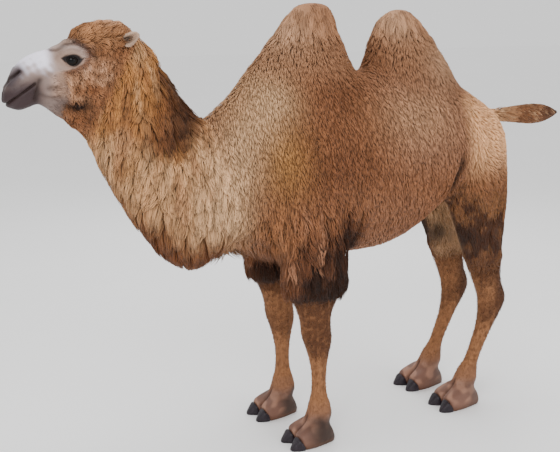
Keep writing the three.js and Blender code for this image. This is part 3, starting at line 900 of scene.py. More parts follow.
@dataclass(frozen=True)
class EyeFinish:
    """Dark brown iris with a wide pupil under a wet cornea."""

    def material(self) -> bpy.types.Material:
        """Build the material.

        Returns:
            The material.
        """
        paint = Paint("eye_gloss")
        gaze = paint.attribute("gaze", "Fac")
        fibres = paint.noise(paint.attribute("fibre", "Vector"), 9.0, 3.0)
        iris = paint.add("ShaderNodeValToRGB", {"stops": [
            (0.0, (0.002, 0.002, 0.002, 1)),
            (0.40, (0.002, 0.002, 0.002, 1)),
            (0.46, (0.009, 0.005, 0.003, 1)),
            (0.72, (0.005, 0.003, 0.002, 1)),
            (0.84, (0.002, 0.002, 0.002, 1)),
            (0.97, (0.030, 0.022, 0.020, 1)),
        ]}, {0: gaze + (fibres - 0.5) * 0.04})
        return paint.finish(iris, 0.35, None, Coat_Weight=0.32, Coat_Roughness=0.04, Specular_IOR_Level=0.0)


@dataclass(frozen=True)
class FloorFinish:
    """Plain pale studio floor."""

    def material(self) -> bpy.types.Material:
        """Build the material.

        Returns:
            The material.
        """
        paint = Paint("studio_floor")
        cloud = paint.noise(paint.place(), 0.7, 2.0)
        pale = paint.add("ShaderNodeCombineColor", {}, {0: 0.97, 1: 0.97, 2: 0.97})
        colour = paint.shaded(pale, 0.985 + cloud * 0.03)
        return paint.finish(colour, 0.8, None)


# ---------------------------------------------------------------- how deep and how long the coat is
@dataclass
class Growth:
    """Depth, length, lie and curl of the coat as functions of the place on the body."""

    plan: Plan
    line: Markings

    def depth(self, p: Array) -> Array:
        """How deep the coat is, from the skin to the outline of the solids.

        Args:
            p: Places on the plan, one row each.

        Returns:
            The depth at each place, in metres.
        """
        x, _, z = p.T
        neck = ramp(-0.05, 0.10, self.plan.neck(p))
        fore = self.plan.fore(p)
        head = ramp(-0.04, 0.03, self.plan.head(p))
        wool = ramp(-0.02, 0.05, self.plan.woolly(p))
        humps, dock = self.plan.hump_span(p), ramp(1.44, 1.47, z)
        return layered(0.014, len(p), (
            (0.020, ramp(1.78, 1.90, z) * humps),
            (0.006, ramp(1.98, 2.08, z) * humps),
            (0.020, neck),
            (0.032, neck * band(p, self.line.throat, 0.11)),
            (0.030, neck * band(p, self.line.mane, 0.09)),
            (0.026, self.plan.chaps(p)),
            (0.034, fore * ramp(1.10, 0.98, z)),
            (0.020, self.plan.hind(p) * ramp(1.06, 0.98, z)),
            (0.010, ramp(0.87, 0.78, z)),
            (0.0045, ramp(0.76, 0.68, z)),
            (0.0008, ramp(0.20, 0.13, z)),
            (0.002, ramp(1.30, 1.36, x) * dock),
            (0.004, ramp(1.42, 1.50, x) * dock),
            (0.012, head * wool),
            (0.018, head * wool * ramp(1.96, 2.03, z)),
            (0.010, head * wool * ramp(1.98, 2.02, z) * ramp(-0.94, -0.99, x)),
            (0.0015, head * (1 - ramp(-0.01, 0.03, self.plan.woolly(p)))),
            (0.006, 0.9 * self.ear_base(p)),
            (-0.004, self.ear(p)),
        ))

    def ear(self, p: Array) -> Array:
        """1 on the ears."""
        out = ramp(0.104, 0.114, np.abs(p[:, 1]))
        return out * ramp(1.925, 1.94, p[:, 2]) * ramp(-0.87, -0.86, p[:, 0]) * ramp(-0.70, -0.71, p[:, 0])

    def ear_base(self, p: Array) -> Array:
        """1 round the foot of the ears."""
        return blob(p, (-0.815, 0.098, 1.968), (0.032, 0.022, 0.026)) * (1 - self.ear(p))

    def brisket(self, p: Array) -> Array:
        """1 on the fringe in front of the forelegs."""
        x, z = p[:, 0], p[:, 2]
        return ramp(-0.44, -0.32, x) * ramp(-0.06, -0.14, x) * ramp(1.14, 1.00, z) * (z > 0.80)

    def length(self, p: Array) -> Array:
        """Length of the locks.

        Args:
            p: Places on the plan, one row each.

        Returns:
            The length at each place, in metres.
        """
        x, _, z = p.T
        neck = ramp(-0.05, 0.10, self.plan.neck(p))
        head = ramp(-0.04, 0.03, self.plan.head(p))
        humps, dock = self.plan.hump_span(p), ramp(1.44, 1.47, z)
        return layered(0.046, len(p), (
            (0.048, ramp(1.75, 1.88, z) * humps),
            (0.070, ramp(1.96, 2.06, z) * humps),
            (0.062, neck),
            (0.100, neck * band(p, self.line.throat, 0.10)),
            (0.095, neck * band(p, self.line.mane, 0.08)),
            (0.125, self.brisket(p)),
            (0.090, self.plan.chaps(p)),
            (0.110, self.plan.fore(p) * ramp(1.16, 1.0, z)),
            (0.052, self.plan.hind(p)),
            (0.080, self.plan.hind(p) * ramp(1.10, 1.02, z) * ramp(0.86, 0.94, z)),
            (0.030, ramp(0.86, 0.79, z)),
            (0.016, ramp(0.78, 0.70, z)),
            (0.012, ramp(0.22, 0.16, z)),
            (0.050, ramp(1.30, 1.36, x) * dock),
            (0.062, ramp(1.40, 1.50, x) * dock),
            (0.030, head),
            (0.042, head * ramp(1.95, 2.02, z)),
            (0.014, 0.9 * self.ear_base(p)),
            (0.020, head * (1 - ramp(-0.01, 0.03, self.plan.woolly(p)))),
            (0.009, head * (1 - ramp(-0.09, -0.02, self.plan.woolly(p)))),
            (0.010, self.ear(p)),
        ))

    def flow(self, p: Array) -> Array:
        """Which way the hair points, before it is laid on the skin.

        Args:
            p: Places on the plan, one row each.

        Returns:
            One direction a row, of any length.
        """
        x, y, z = p.T
        way = np.tile(np.array([0.13, 0.0, -1.0]), (len(p), 1))
        side = np.sign(y)

        def lay(vector: Point, share: Array, outward: float = 0.0) -> None:
            """Mix a direction in by a share."""
            aim = np.tile(np.array(vector, float), (len(p), 1))
            aim[:, 1] += outward * side
            way[:] += (aim - way) * np.clip(share, 0, 1)[:, None]

        top = ramp(0.14, 0.02, np.abs(y))
        lay((0.8, 0.0, -0.3), top * ramp(0.3, 0.5, z - 1.2) * ramp(-0.3, 0.0, x), 0.7)
        lay((1.0, 0.0, -0.6), ramp(0.95, 1.1, x) * ramp(1.1, 1.2, z))
        hump = ramp(1.80, 1.88, z) * self.plan.hump_span(p)
        lay((0.0, 0.0, -1.0), hump, 0.5)
        middle = np.where(x < 0.415, 0.15, 0.68)
        way[:, 0] += hump * np.clip((x - middle) * 4.0, -1, 1)
        lay((0.9, 0.0, -0.35), ramp(0.98, 0.90, z) * ramp(0.3, 0.5, x) * ramp(0.85, 0.8, x))
        neck = ramp(-0.06, 0.06, self.plan.neck(p))
        lay((0.02, 0.0, -1.0), neck)
        lay((-0.30, 0.0, -1.0), neck * ramp(-0.45, -0.75, x))
        lay((0.35, 0.0, -1.0), neck * band(p, self.line.mane, 0.12), 0.2)
        lay((0.10, 0.0, -1.0), self.plan.fore(p), 0.08)
        lay((0.18, 0.0, -1.0), self.plan.hind(p), 0.05)
        lay((0.0, 0.0, -1.0), ramp(0.9, 0.8, z))
        lay((1.0, 0.0, -0.12), ramp(1.26, 1.34, x) * ramp(1.42, 1.47, z))
        head = ramp(-0.05, 0.03, self.plan.head(p))
        lay((0.30, 0.0, -1.0), head)
        lay((0.75, 0.0, 0.45), head * ramp(1.93, 2.02, z), 0.1)
        lay((-0.10, 0.0, 1.0), head * ramp(1.97, 2.01, z) * ramp(-0.95, -1.0, x))
        lay((1.0, 0.0, 0.1), head * (1 - ramp(-0.02, 0.03, self.plan.woolly(p))))
        lay((0.85, 0.0, 0.5), self.ear(p), 0.5)
        return way

    def relief(self, p: Array) -> Array:
        """How deep the grooves between tufts are, as a share of the coat's depth.

        Args:
            p: Places on the plan, one row each.

        Returns:
            The share at each place.
        """
        z = p[:, 2]
        neck = ramp(-0.10, 0.02, self.plan.neck(p))
        tops = ramp(1.93, 2.02, z) * self.plan.hump_span(p)
        side = ramp(1.66, 1.82, z) * self.plan.hump_span(p)
        out = 0.16 + 0.16 * neck - 0.08 * side + 0.34 * tops + 0.26 * self.plan.chaps(p)
        out += 0.10 * ramp(-0.04, 0.03, self.plan.head(p))
        return out * ramp(0.72, 0.80, z)

    def curl(self, p: Array) -> Array:
        """How strongly the locks curl, 0 to 1.

        Args:
            p: Places on the plan, one row each.

        Returns:
            The strength at each place.
        """
        head = ramp(-0.06, 0.02, self.plan.head(p)) * ramp(0.0, 0.05, self.plan.woolly(p))
        shaggy = 0.40 * self.plan.chaps(p) + 0.3 * self.plan.hind(p) + 0.3 * ramp(1.4, 1.45, p[:, 0])
        head = head * (1 - 0.55 * ramp(1.95, 2.0, p[:, 2]))
        return np.clip(0.18 + 0.8 * head + shaggy, 0, 1)

    def bare(self, p: Array) -> Array:
        """1 where the skin shows."""
        head = ramp(-0.04, 0.03, self.plan.head(p)) * (1 - ramp(-0.02, 0.01, self.plan.woolly(p)))
        feet = ramp(0.17, 0.13, p[:, 2])
        return np.clip(head + feet, 0, 1)


# ---------------------------------------------------------------- the skin
@dataclass
class Hide:
    """The one skin over all the flesh: solids joined, smoothed, drawn in by the coat's depth, modelled."""

    plan: Plan
    growth: Growth
    voxel: float = 0.0095
    grow: float = 0.0006
    body_triangles: int = 42000
    net: Net = field(init=False)

    def flesh(self) -> list[str]:
        """Names of the solids that the skin stands for."""
        return [name for name in sorted(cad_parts) if "eye" not in name and "nail" not in name]

    def _joined(self) -> bpy.types.Object:
        """One shell round slightly swollen copies of the solids of flesh and of the eyes.

        Returns:
            The object, with its remesh still to be applied.
        """
        joined = bmesh.new()
        eyes = [name for name in sorted(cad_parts) if "eye" in name]
        for name in self.flesh() + eyes:
            piece = welded(name)
            piece.normal_update()
            for vert in piece.verts:
                vert.co += vert.normal * self.grow
            copy = closed(piece, "copy")
            joined.from_mesh(copy)
            bpy.data.meshes.remove(copy)
        obj = add_object("flesh", closed(joined, "flesh"))
        wrap(obj, self.voxel)
        return obj

    def _applied(self, obj: bpy.types.Object) -> Net:
        """The mesh with its modifiers applied; the object is removed.

        Args:
            obj: The object to take.

        Returns:
            Its mesh as a net.
        """
        shown = obj.evaluated_get(bpy.context.evaluated_depsgraph_get())
        net = Net.read(shown.to_mesh())
        mesh = obj.data
        bpy.data.objects.remove(obj)
        bpy.data.meshes.remove(mesh)
        return net

    def _softness(self, p: Array) -> Array:
        """How much of each smoothing round a place takes, so that facets go and small forms stay.

        Args:
            p: Places on the plan, one row each.

        Returns:
            The share at each place.
        """
        share = np.full(len(p), 1.0)
        share *= 1 - 0.80 * ramp(-0.02, 0.06, self.plan.head(p))
        share *= 1 - 0.72 * ramp(0.90, 0.76, p[:, 2])
        share *= 1 - 0.85 * ramp(0.24, 0.18, p[:, 2])
        share *= 1 - 0.7 * ramp(1.30, 1.36, p[:, 0])
        share *= 1 - 0.85 * ramp(1.90, 2.02, p[:, 2]) * self.plan.hump_span(p)
        share *= 1 - 0.97 * self.growth.ear(p)
        return share

    def _thinned(self, net: Net) -> Net:
        """Fewer, larger triangles where long coat hides the skin.

        Args:
            net: The skin before.

        Returns:
            The skin with fewer triangles.
        """
        p = self.plan.of(net.verts)
        long = ramp(0.0, -0.05, self.plan.head(p)) * ramp(0.80, 0.86, p[:, 2])
        obj = net.write("thinned")
        group = obj.vertex_groups.new(name="long")
        for index in np.flatnonzero(long > 0.5).tolist():
            group.add([index], 1.0, "REPLACE")
        coarse = int((long[net.tris].min(1) > 0.5).sum())
        kept = len(net.tris) - coarse
        thin = obj.modifiers.new("thin", "DECIMATE")
        thin.ratio = (kept + self.body_triangles) / len(net.tris)
        thin.vertex_group = "long"
        return self._applied(obj)

    def _finer(self, net: Net, wanted: Array) -> Net:
        """Split every edge whose two ends are wanted.

        Args:
            net: The skin before.
            wanted: Whether each vertex is wanted.

        Returns:
            The skin with more triangles there.
        """
        obj = net.write("finer")
        work = bmesh.new()
        work.from_mesh(obj.data)
        edges = [e for e in work.edges if wanted[e.verts[0].index] and wanted[e.verts[1].index]]
        bmesh.ops.subdivide_edges(work, edges=edges, cuts=1, use_grid_fill=True)
        bmesh.ops.triangulate(work, faces=work.faces)
        work.to_mesh(obj.data)
        work.free()
        return self._applied(obj)

    def _fine_places(self, p: Array) -> Array:
        """Where lids, nostrils, lips and ears need the finest mesh.

        Args:
            p: Places on the plan, one row each.

        Returns:
            Whether each place needs it.
        """
        q = np.column_stack([p[:, 0], np.abs(p[:, 1]), p[:, 2]])
        eye = np.linalg.norm(q - np.array([EYE_PLAN_X, 0.095, EYE_PLAN_Z]), axis=1) < 0.058
        lips = (from_line(p, Face.mouth) < 0.014) | (from_line(p, Face.nostril) < 0.020)
        return eye | (lips & (p[:, 0] < -1.13)) | (self.growth.ear(p) > 0.5) | (self._toe_tops(p) > 0.3)

    def _toe_tops(self, p: Array) -> Array:
        """1 on the upper side of the feet, near the groove between the toes."""
        return self.plan.between_toes(p, 0.026) * ramp(0.015, 0.03, p[:, 2])

    def shape(self) -> None:
        """Work the skin out as arrays."""
        net = self._applied(self._joined())
        LOG.info("shell of %d triangles", len(net.tris))
        soft = self._softness(self.plan.of(net.verts))
        net.verts = net.relaxed(net.verts, 60, soft * 0.5)
        net = self._thinned(net)
        net = self._finer(net, self.plan.head(self.plan.of(net.verts)) > 0.0)
        net = self._finer(net, self._fine_places(self.plan.of(net.verts)))
        lift = net.relaxed(net.normals(), 6)
        p = self.plan.of(net.verts)
        ear = self.growth.ear(p)
        net.verts = net.relaxed(net.verts, 3, (1 - ear) * 0.5)
        net.verts = net.verts - unit(lift) * net.relaxed(self.growth.depth(p), 4)[:, None]
        net.verts = net.relaxed(net.verts, 3, (1 - ear) * 0.45)
        self.net = Face(self.plan).carve(Body(self.plan).carve(net))
        LOG.info("skin of %d triangles", len(self.net.tris))

    def build(self, markings: Markings) -> bpy.types.Object:
        """Make the skin's object, with its map, its markings and its finish.

        Args:
            markings: The colours of the skin.

        Returns:
            The skin.
        """
        self.shape()
        obj = self.net.write("skin")
        p = self.plan.of(self.net.verts)
        set_marking(obj.data, markings.colour(p))
        set_attribute(obj.data, BARE, "FLOAT", self.growth.bare(p))
        obj.data.materials.append(HideFinish().material())
        self._unwrap(obj)
        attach(obj, "root")
        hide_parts(*self.flesh())
        return obj

    def _unwrap(self, obj: bpy.types.Object) -> None:
        """Lay the skin out flat on its own map.

        Args:
            obj: The skin.
        """
        obj.data.uv_layers.new(name=BAKE_MAP)
        bpy.context.view_layer.objects.active = obj
        obj.select_set(True)
        bpy.ops.object.mode_set(mode="EDIT")
        bpy.ops.mesh.select_all(action="SELECT")
        bpy.ops.uv.smart_project(angle_limit=math.radians(72), island_margin=0.002)
        bpy.ops.object.mode_set(mode="OBJECT")
        obj.select_set(False)


@dataclass
class Body:
    """Brush work on trunk and legs: the flank fold, hip, joints, tendons and soles."""

    plan: Plan
    crease: Line = ((0.866, 1.395), (0.848, 1.335), (0.838, 1.270), (0.848, 1.200), (0.860, 1.150))
    tendon: Line = ((0.150, 0.46), (0.130, 0.34), (0.128, 0.24))
    hind_tendon: Line = ((1.235, 0.78), (1.245, 0.68), (1.255, 0.62))
    sole_rise: float = 0.010
    sole: float = 0.0003

    def carve(self, net: Net) -> Net:
        """Shape the body.

        Args:
            net: The skin before.

        Returns:
            The same net with moved vertices.
        """
        normal = net.relaxed(net.normals(), 2)
        p = self.plan.of(net.verts)
        out = np.abs(p[:, 1])
        push = -0.020 * band(p, self.crease, 0.018) * ramp(0.18, 0.25, out)
        push += 0.010 * band(p, shifted(self.crease, 0.05, 0.0), 0.04) * ramp(0.18, 0.26, out)
        push += 0.010 * blob(p, (0.93, 0.20, 1.60), (0.05, 0.08, 0.04))
        push -= 0.004 * band(p, self.tendon, 0.012)
        push += 0.003 * band(p, shifted(self.tendon, -0.03, 0.0), 0.014)
        push -= 0.006 * band(p, self.hind_tendon, 0.016)
        push += 0.004 * blob(p, (0.03, 0.19, 0.565), (0.03, 0.05, 0.045))
        push -= 0.016 * self.plan.between_toes(p, 0.009) * ramp(-0.1, 0.3, normal[:, 2])
        push += 0.005 * self.plan.between_toes(p, 0.024) * ramp(-0.1, 0.3, normal[:, 2])
        net.verts = net.verts + unit(normal) * push[:, None]
        low = net.verts[:, 2]
        flat = ramp(self.sole_rise, 0.4 * self.sole_rise, low) * (normal[:, 2] < -0.3)
        net.verts[:, 2] = np.where(flat > 0, low * (1 - flat) + self.sole * flat, np.maximum(low, self.sole))
        return net


@dataclass
class Face:
    """Brush work on the head: lids, brow, nostrils, lips, wrinkles, jaw and ears."""

    plan: Plan
    eye: Point = (EYE_PLAN_X, 0.0805, EYE_PLAN_Z)
    radius: float = 0.027
    gaze: Point = (-0.26, 0.96, -0.04)
    half_width: float = 0.0240
    upper: float = 0.0095
    lower: float = 0.0205
    lift: float = 0.0045
    set_back: float = 0.0020
    nostril = ((-1.287, 1.806), (-1.262, 1.835), (-1.228, 1.862))
    mouth = ((-1.300, 1.716), (-1.268, 1.744), (-1.234, 1.768), (-1.201, 1.791), (-1.170, 1.812))
    corner = ((-1.150, 1.824), (-1.160, 1.800), (-1.166, 1.776), (-1.170, 1.750))
    brow = ((-1.092, 1.944), (-1.073, 1.943), (-1.033, 1.966), (-0.994, 1.974), (-0.958, 1.950))
    orbit = ((-1.050, 1.853), (-1.011, 1.864), (-0.970, 1.884), (-0.953, 1.916), (-0.956, 1.948))
    cheek_upper = ((-1.112, 1.789), (-1.100, 1.794), (-1.086, 1.791))
    cheek_lower = ((-1.152, 1.768), (-1.128, 1.755), (-1.100, 1.750), (-1.076, 1.756))
    crease = ((-1.080, 1.912), (-1.060, 1.936), (-1.020, 1.949), (-0.985, 1.940))

    def carve(self, net: Net) -> Net:
        """Shape the face.

        Args:
            net: The skin before.

        Returns:
            The same net with moved vertices.
        """
        for step in (self._forms, self._folds, self._lids, self._ears):
            step(net)
        return net

    def _push(self, net: Net, amount: Array) -> None:
        """Move vertices along their normals."""
        net.verts = net.verts + unit(net.relaxed(net.normals(), 1)) * amount[:, None]

    def _forms(self, net: Net) -> None:
        """The broad forms: cheekbone, brow, muzzle, chin and jaw.

        Args:
            net: The skin, changed in place.
        """
        p = self.plan.of(net.verts)
        lift = 0.006 * blob(p, (-1.075, 0.085, 1.858), (0.070, 0.05, 0.016))
        lift += 0.007 * blob(p, (-1.035, 0.070, 1.948), (0.055, 0.05, 0.016))
        lift += 0.005 * blob(p, (-1.245, 0.045, 1.775), (0.040, 0.06, 0.018))
        lift += 0.006 * blob(p, (-1.235, 0.030, 1.715), (0.035, 0.05, 0.018))
        lift -= 0.007 * blob(p, (-1.150, 0.070, 1.830), (0.045, 0.05, 0.022))
        lift += 0.006 * blob(p, (-0.985, 0.100, 1.760), (0.060, 0.05, 0.060))
        lift -= 0.012 * blob(p, (-1.015, 0.080, 1.706), (0.050, 0.07, 0.016))
        lift -= 0.004 * blob(p, (-1.100, 0.060, 1.905), (0.045, 0.05, 0.022))
        self._push(net, lift)

    def _folds(self, net: Net) -> None:
        """Lips, nostrils and the wrinkles of lid and cheek.

        Args:
            net: The skin, changed in place.
        """
        p = self.plan.of(net.verts)
        out = np.abs(p[:, 1])
        side = ramp(0.010, 0.026, out)
        push = -0.008 * band(p, self.mouth, 0.0048)
        push += 0.004 * band(p, shifted(self.mouth, -0.004, 0.016), 0.011)
        push += 0.004 * band(p, shifted(self.mouth, 0.004, -0.015), 0.010)
        push -= 0.015 * band(p, self.nostril, 0.0050) * side
        push += 0.005 * band(p, shifted(self.nostril, -0.010, 0.011), 0.008) * side
        push += 0.005 * band(p, shifted(self.nostril, 0.010, -0.011), 0.009) * side
        cleft = ramp(0.006, 0.0, out) * ramp(-1.27, -1.29, p[:, 0]) * ramp(1.73, 1.75, p[:, 2])
        push -= 0.006 * cleft
        wrinkles = (
            (self.brow, 0.0060, 0.0052),
            (self.orbit[:3], 0.0040, 0.0055),
            (self.cheek_upper, 0.0050, 0.0070),
            (self.cheek_lower, 0.0045, 0.0060),
            (self.corner, 0.0060, 0.0075),
            (self.crease, 0.0022, 0.0050),
            (((-1.225, 1.800), (-1.195, 1.815)), 0.0030, 0.0060),
            (((-1.078, 1.872), (-1.060, 1.862), (-1.040, 1.858)), 0.0030, 0.0045),
        )
        for line, deep, width in wrinkles:
            push -= deep * band(p, line, width) * side
            push += 0.5 * deep * band(p, shifted(line, 0.0, 2.0 * width), 1.4 * width) * side
        head = ramp(0.0, 0.03, self.plan.head(p))
        self._push(net, push * head)

    def frame(self, side: int) -> tuple[Array, Array, Array, Array]:
        """Middle of an eyeball in the frame, and its outward, rearward and upward directions.

        Args:
            side: -1 for the left eye, 1 for the right.

        Returns:
            The middle and the three directions.
        """
        centre = np.array([self.eye[0] - self.plan.shift, self.eye[1] * side, self.eye[2]])
        outward = unit(np.array([self.gaze[0], self.gaze[1] * side, self.gaze[2]]))
        rearward = unit(np.cross(outward, np.array([0.10, 0.0, 1.0])) * side)
        rearward = rearward if rearward[0] > 0 else -rearward
        upward = np.cross(rearward, outward) * side
        upward = upward if upward[2] > 0 else -upward
        return centre, outward, rearward, upward

    def _lids(self, net: Net) -> None:
        """Lids that wrap the eyeball, open in an almond.

        Args:
            net: The skin, changed in place.
        """
        for side in (-1, 1):
            centre, outward, rearward, upward = self.frame(side)
            d = net.verts - centre
            reach = np.linalg.norm(d, axis=1)
            s, t, o = d @ rearward - self.set_back, d @ upward - self.lift, d @ outward
            near = (reach < 0.075) & (o > 0.0)
            half = np.where(t > 0, self.upper, self.lower)
            lid = half * np.maximum(0.0, 1.0 - (s / self.half_width) ** 2)
            beyond = np.maximum(np.abs(s) - self.half_width, 0.0)
            apart = np.hypot(np.abs(t) - lid, beyond) * np.sign(np.abs(t) - lid + beyond * 4)
            rim = self.radius + 0.0012 + 0.0038 * ramp(0.0, 0.004, apart)
            rim += 0.0022 * ramp(0.0, 0.01, t) * np.exp(-(((apart - 0.006) / 0.005) ** 2))
            rim -= 0.0015 * np.exp(-(((apart - 0.0145) / 0.003) ** 2))
            wanted = np.where(apart < 0, self.radius * 0.90, rim)
            share = near * ramp(0.026, 0.012, apart)
            target = centre + d / np.maximum(reach, 1e-9)[:, None] * wanted[:, None]
            net.verts = net.verts + (target - net.verts) * share[:, None]

    def _ears(self, net: Net) -> None:
        """Hollow the open side of each ear.

        Args:
            net: The skin, changed in place.
        """
        p = self.plan.of(net.verts)
        normal = net.relaxed(net.normals(), 1)
        base, tip = np.array([-0.826, 0.084, 1.955]), np.array([-0.742, 0.141, 2.010])
        axis = unit(tip - base)
        opening = np.array([-0.45, 0.86, -0.1])
        opening = unit(opening - (opening @ axis) * axis)
        mirror = np.column_stack([np.ones(len(p)), np.where(p[:, 1] < 0, -1.0, 1.0), np.ones(len(p))])
        d = p * mirror - base
        along = (d @ axis) / np.linalg.norm(tip - base)
        across = d @ np.cross(axis, opening)
        facing = ramp(0.1, 0.6, (normal * mirror) @ opening)
        inside = ((along - 0.58) / 0.36) ** 2 + (across / 0.013) ** 2
        bowl = np.exp(-(inside**2))
        rim = np.exp(-(((np.sqrt(inside) - 1.35) / 0.25) ** 2))
        deep = (0.016 * bowl - 0.003 * rim) * facing * ((along > -0.2) & (along < 1.2))
        net.verts = net.verts - (opening * mirror) * deep[:, None]


# ---------------------------------------------------------------- the coat
class Region(Enum):
    """Pieces of the coat: name, number of locks, steps from root to tip, half width in metres."""

    FACE = ("coat_face", 5000, 2, 0.0011)
    HEAD = ("coat_head", 8600, 4, 0.0024)
    NECK_LEFT = ("coat_neck_left", 9000, 3, 0.0034)
    NECK_RIGHT = ("coat_neck_right", 9000, 3, 0.0034)
    TRUNK_LEFT = ("coat_trunk_left", 17000, 2, 0.0034)
    TRUNK_RIGHT = ("coat_trunk_right", 17000, 2, 0.0034)
    HUMPS = ("coat_humps", 10500, 3, 0.0034)
    FORELEGS = ("coat_forelegs", 8600, 4, 0.0032)
    HIND_LEGS = ("coat_hind_legs", 15000, 2, 0.0032)
    SHANKS = ("coat_shanks", 8600, 2, 0.0018)
    TAIL = ("coat_tail", 1700, 4, 0.0032)

    def __init__(self, label: str, count: int, rings: int, width: float) -> None:
        """Name the fields of each piece.

        Args:
            label: Name of the piece.
            count: Number of locks.
            rings: Steps from root to tip.
            width: Half width of a lock.
        """
        self.label = label
        self.count = count
        self.rings = rings
        self.width = width


@dataclass
class Locks:
    """Paths of many locks: points, outward and across directions, widths."""

    points: Array
    outward: Array
    across: Array
    width: Array
    thick: Array

    def mesh(self, name: str, own: Array, patch: Array) -> bpy.types.Mesh:
        """Join the locks as one mesh of closed three-sided spikes.

        Args:
            name: The mesh's name.
            own: A number from 0 to 1 for each lock.
            patch: Each lock's place on the skin's map.

        Returns:
            The mesh, with its strand attribute and its map.
        """
        n, k = self.points.shape[:2]
        rings = k - 1
        left = self.points - self.across * self.width[..., None]
        right = self.points + self.across * self.width[..., None]
        crest = self.points + self.outward * self.thick[..., None]
        body = np.stack([left, crest, right], 2)[:, :rings].reshape(n, rings * 3, 3)
        verts = np.concatenate([body, self.points[:, -1:]], 1)
        each = rings * 3 + 1
        quads = [(3 * i + j, 3 * i + (j + 1) % 3, 3 * i + 3 + (j + 1) % 3, 3 * i + 3 + j)
                 for i in range(rings - 1) for j in range(3)]
        last = 3 * (rings - 1)
        ends = [(last + j, last + (j + 1) % 3, each - 1) for j in range(3)] + [(0, 2, 1)]
        corners = np.array([c for face in quads + ends for c in face])
        sizes = np.array([4] * len(quads) + [3] * len(ends))
        mesh = bpy.data.meshes.new(name)
        all_corners = (corners[None] + (np.arange(n) * each)[:, None]).ravel()
        fill_mesh(mesh, verts.reshape(-1, 3), all_corners, np.tile(sizes, n))
        across = np.append(np.tile([0.0, 0.5, 1.0], rings), 0.5)
        along = np.append(np.repeat(np.arange(rings) / rings, 3), 1.0)
        strand = np.stack(np.broadcast_arrays(across[None], along[None], own[:, None]), -1)
        set_attribute(mesh, STRAND, "FLOAT_VECTOR", strand.reshape(-1, 3))
        at = patch[:, None] + (np.stack([across, along], -1)[None] - 0.5) * BAKE_PATCH
        flat = at.reshape(-1, 2)[all_corners]
        mesh.uv_layers.new(name=BAKE_MAP).data.foreach_set("uv", flat.astype(np.float32).ravel())
        return mesh


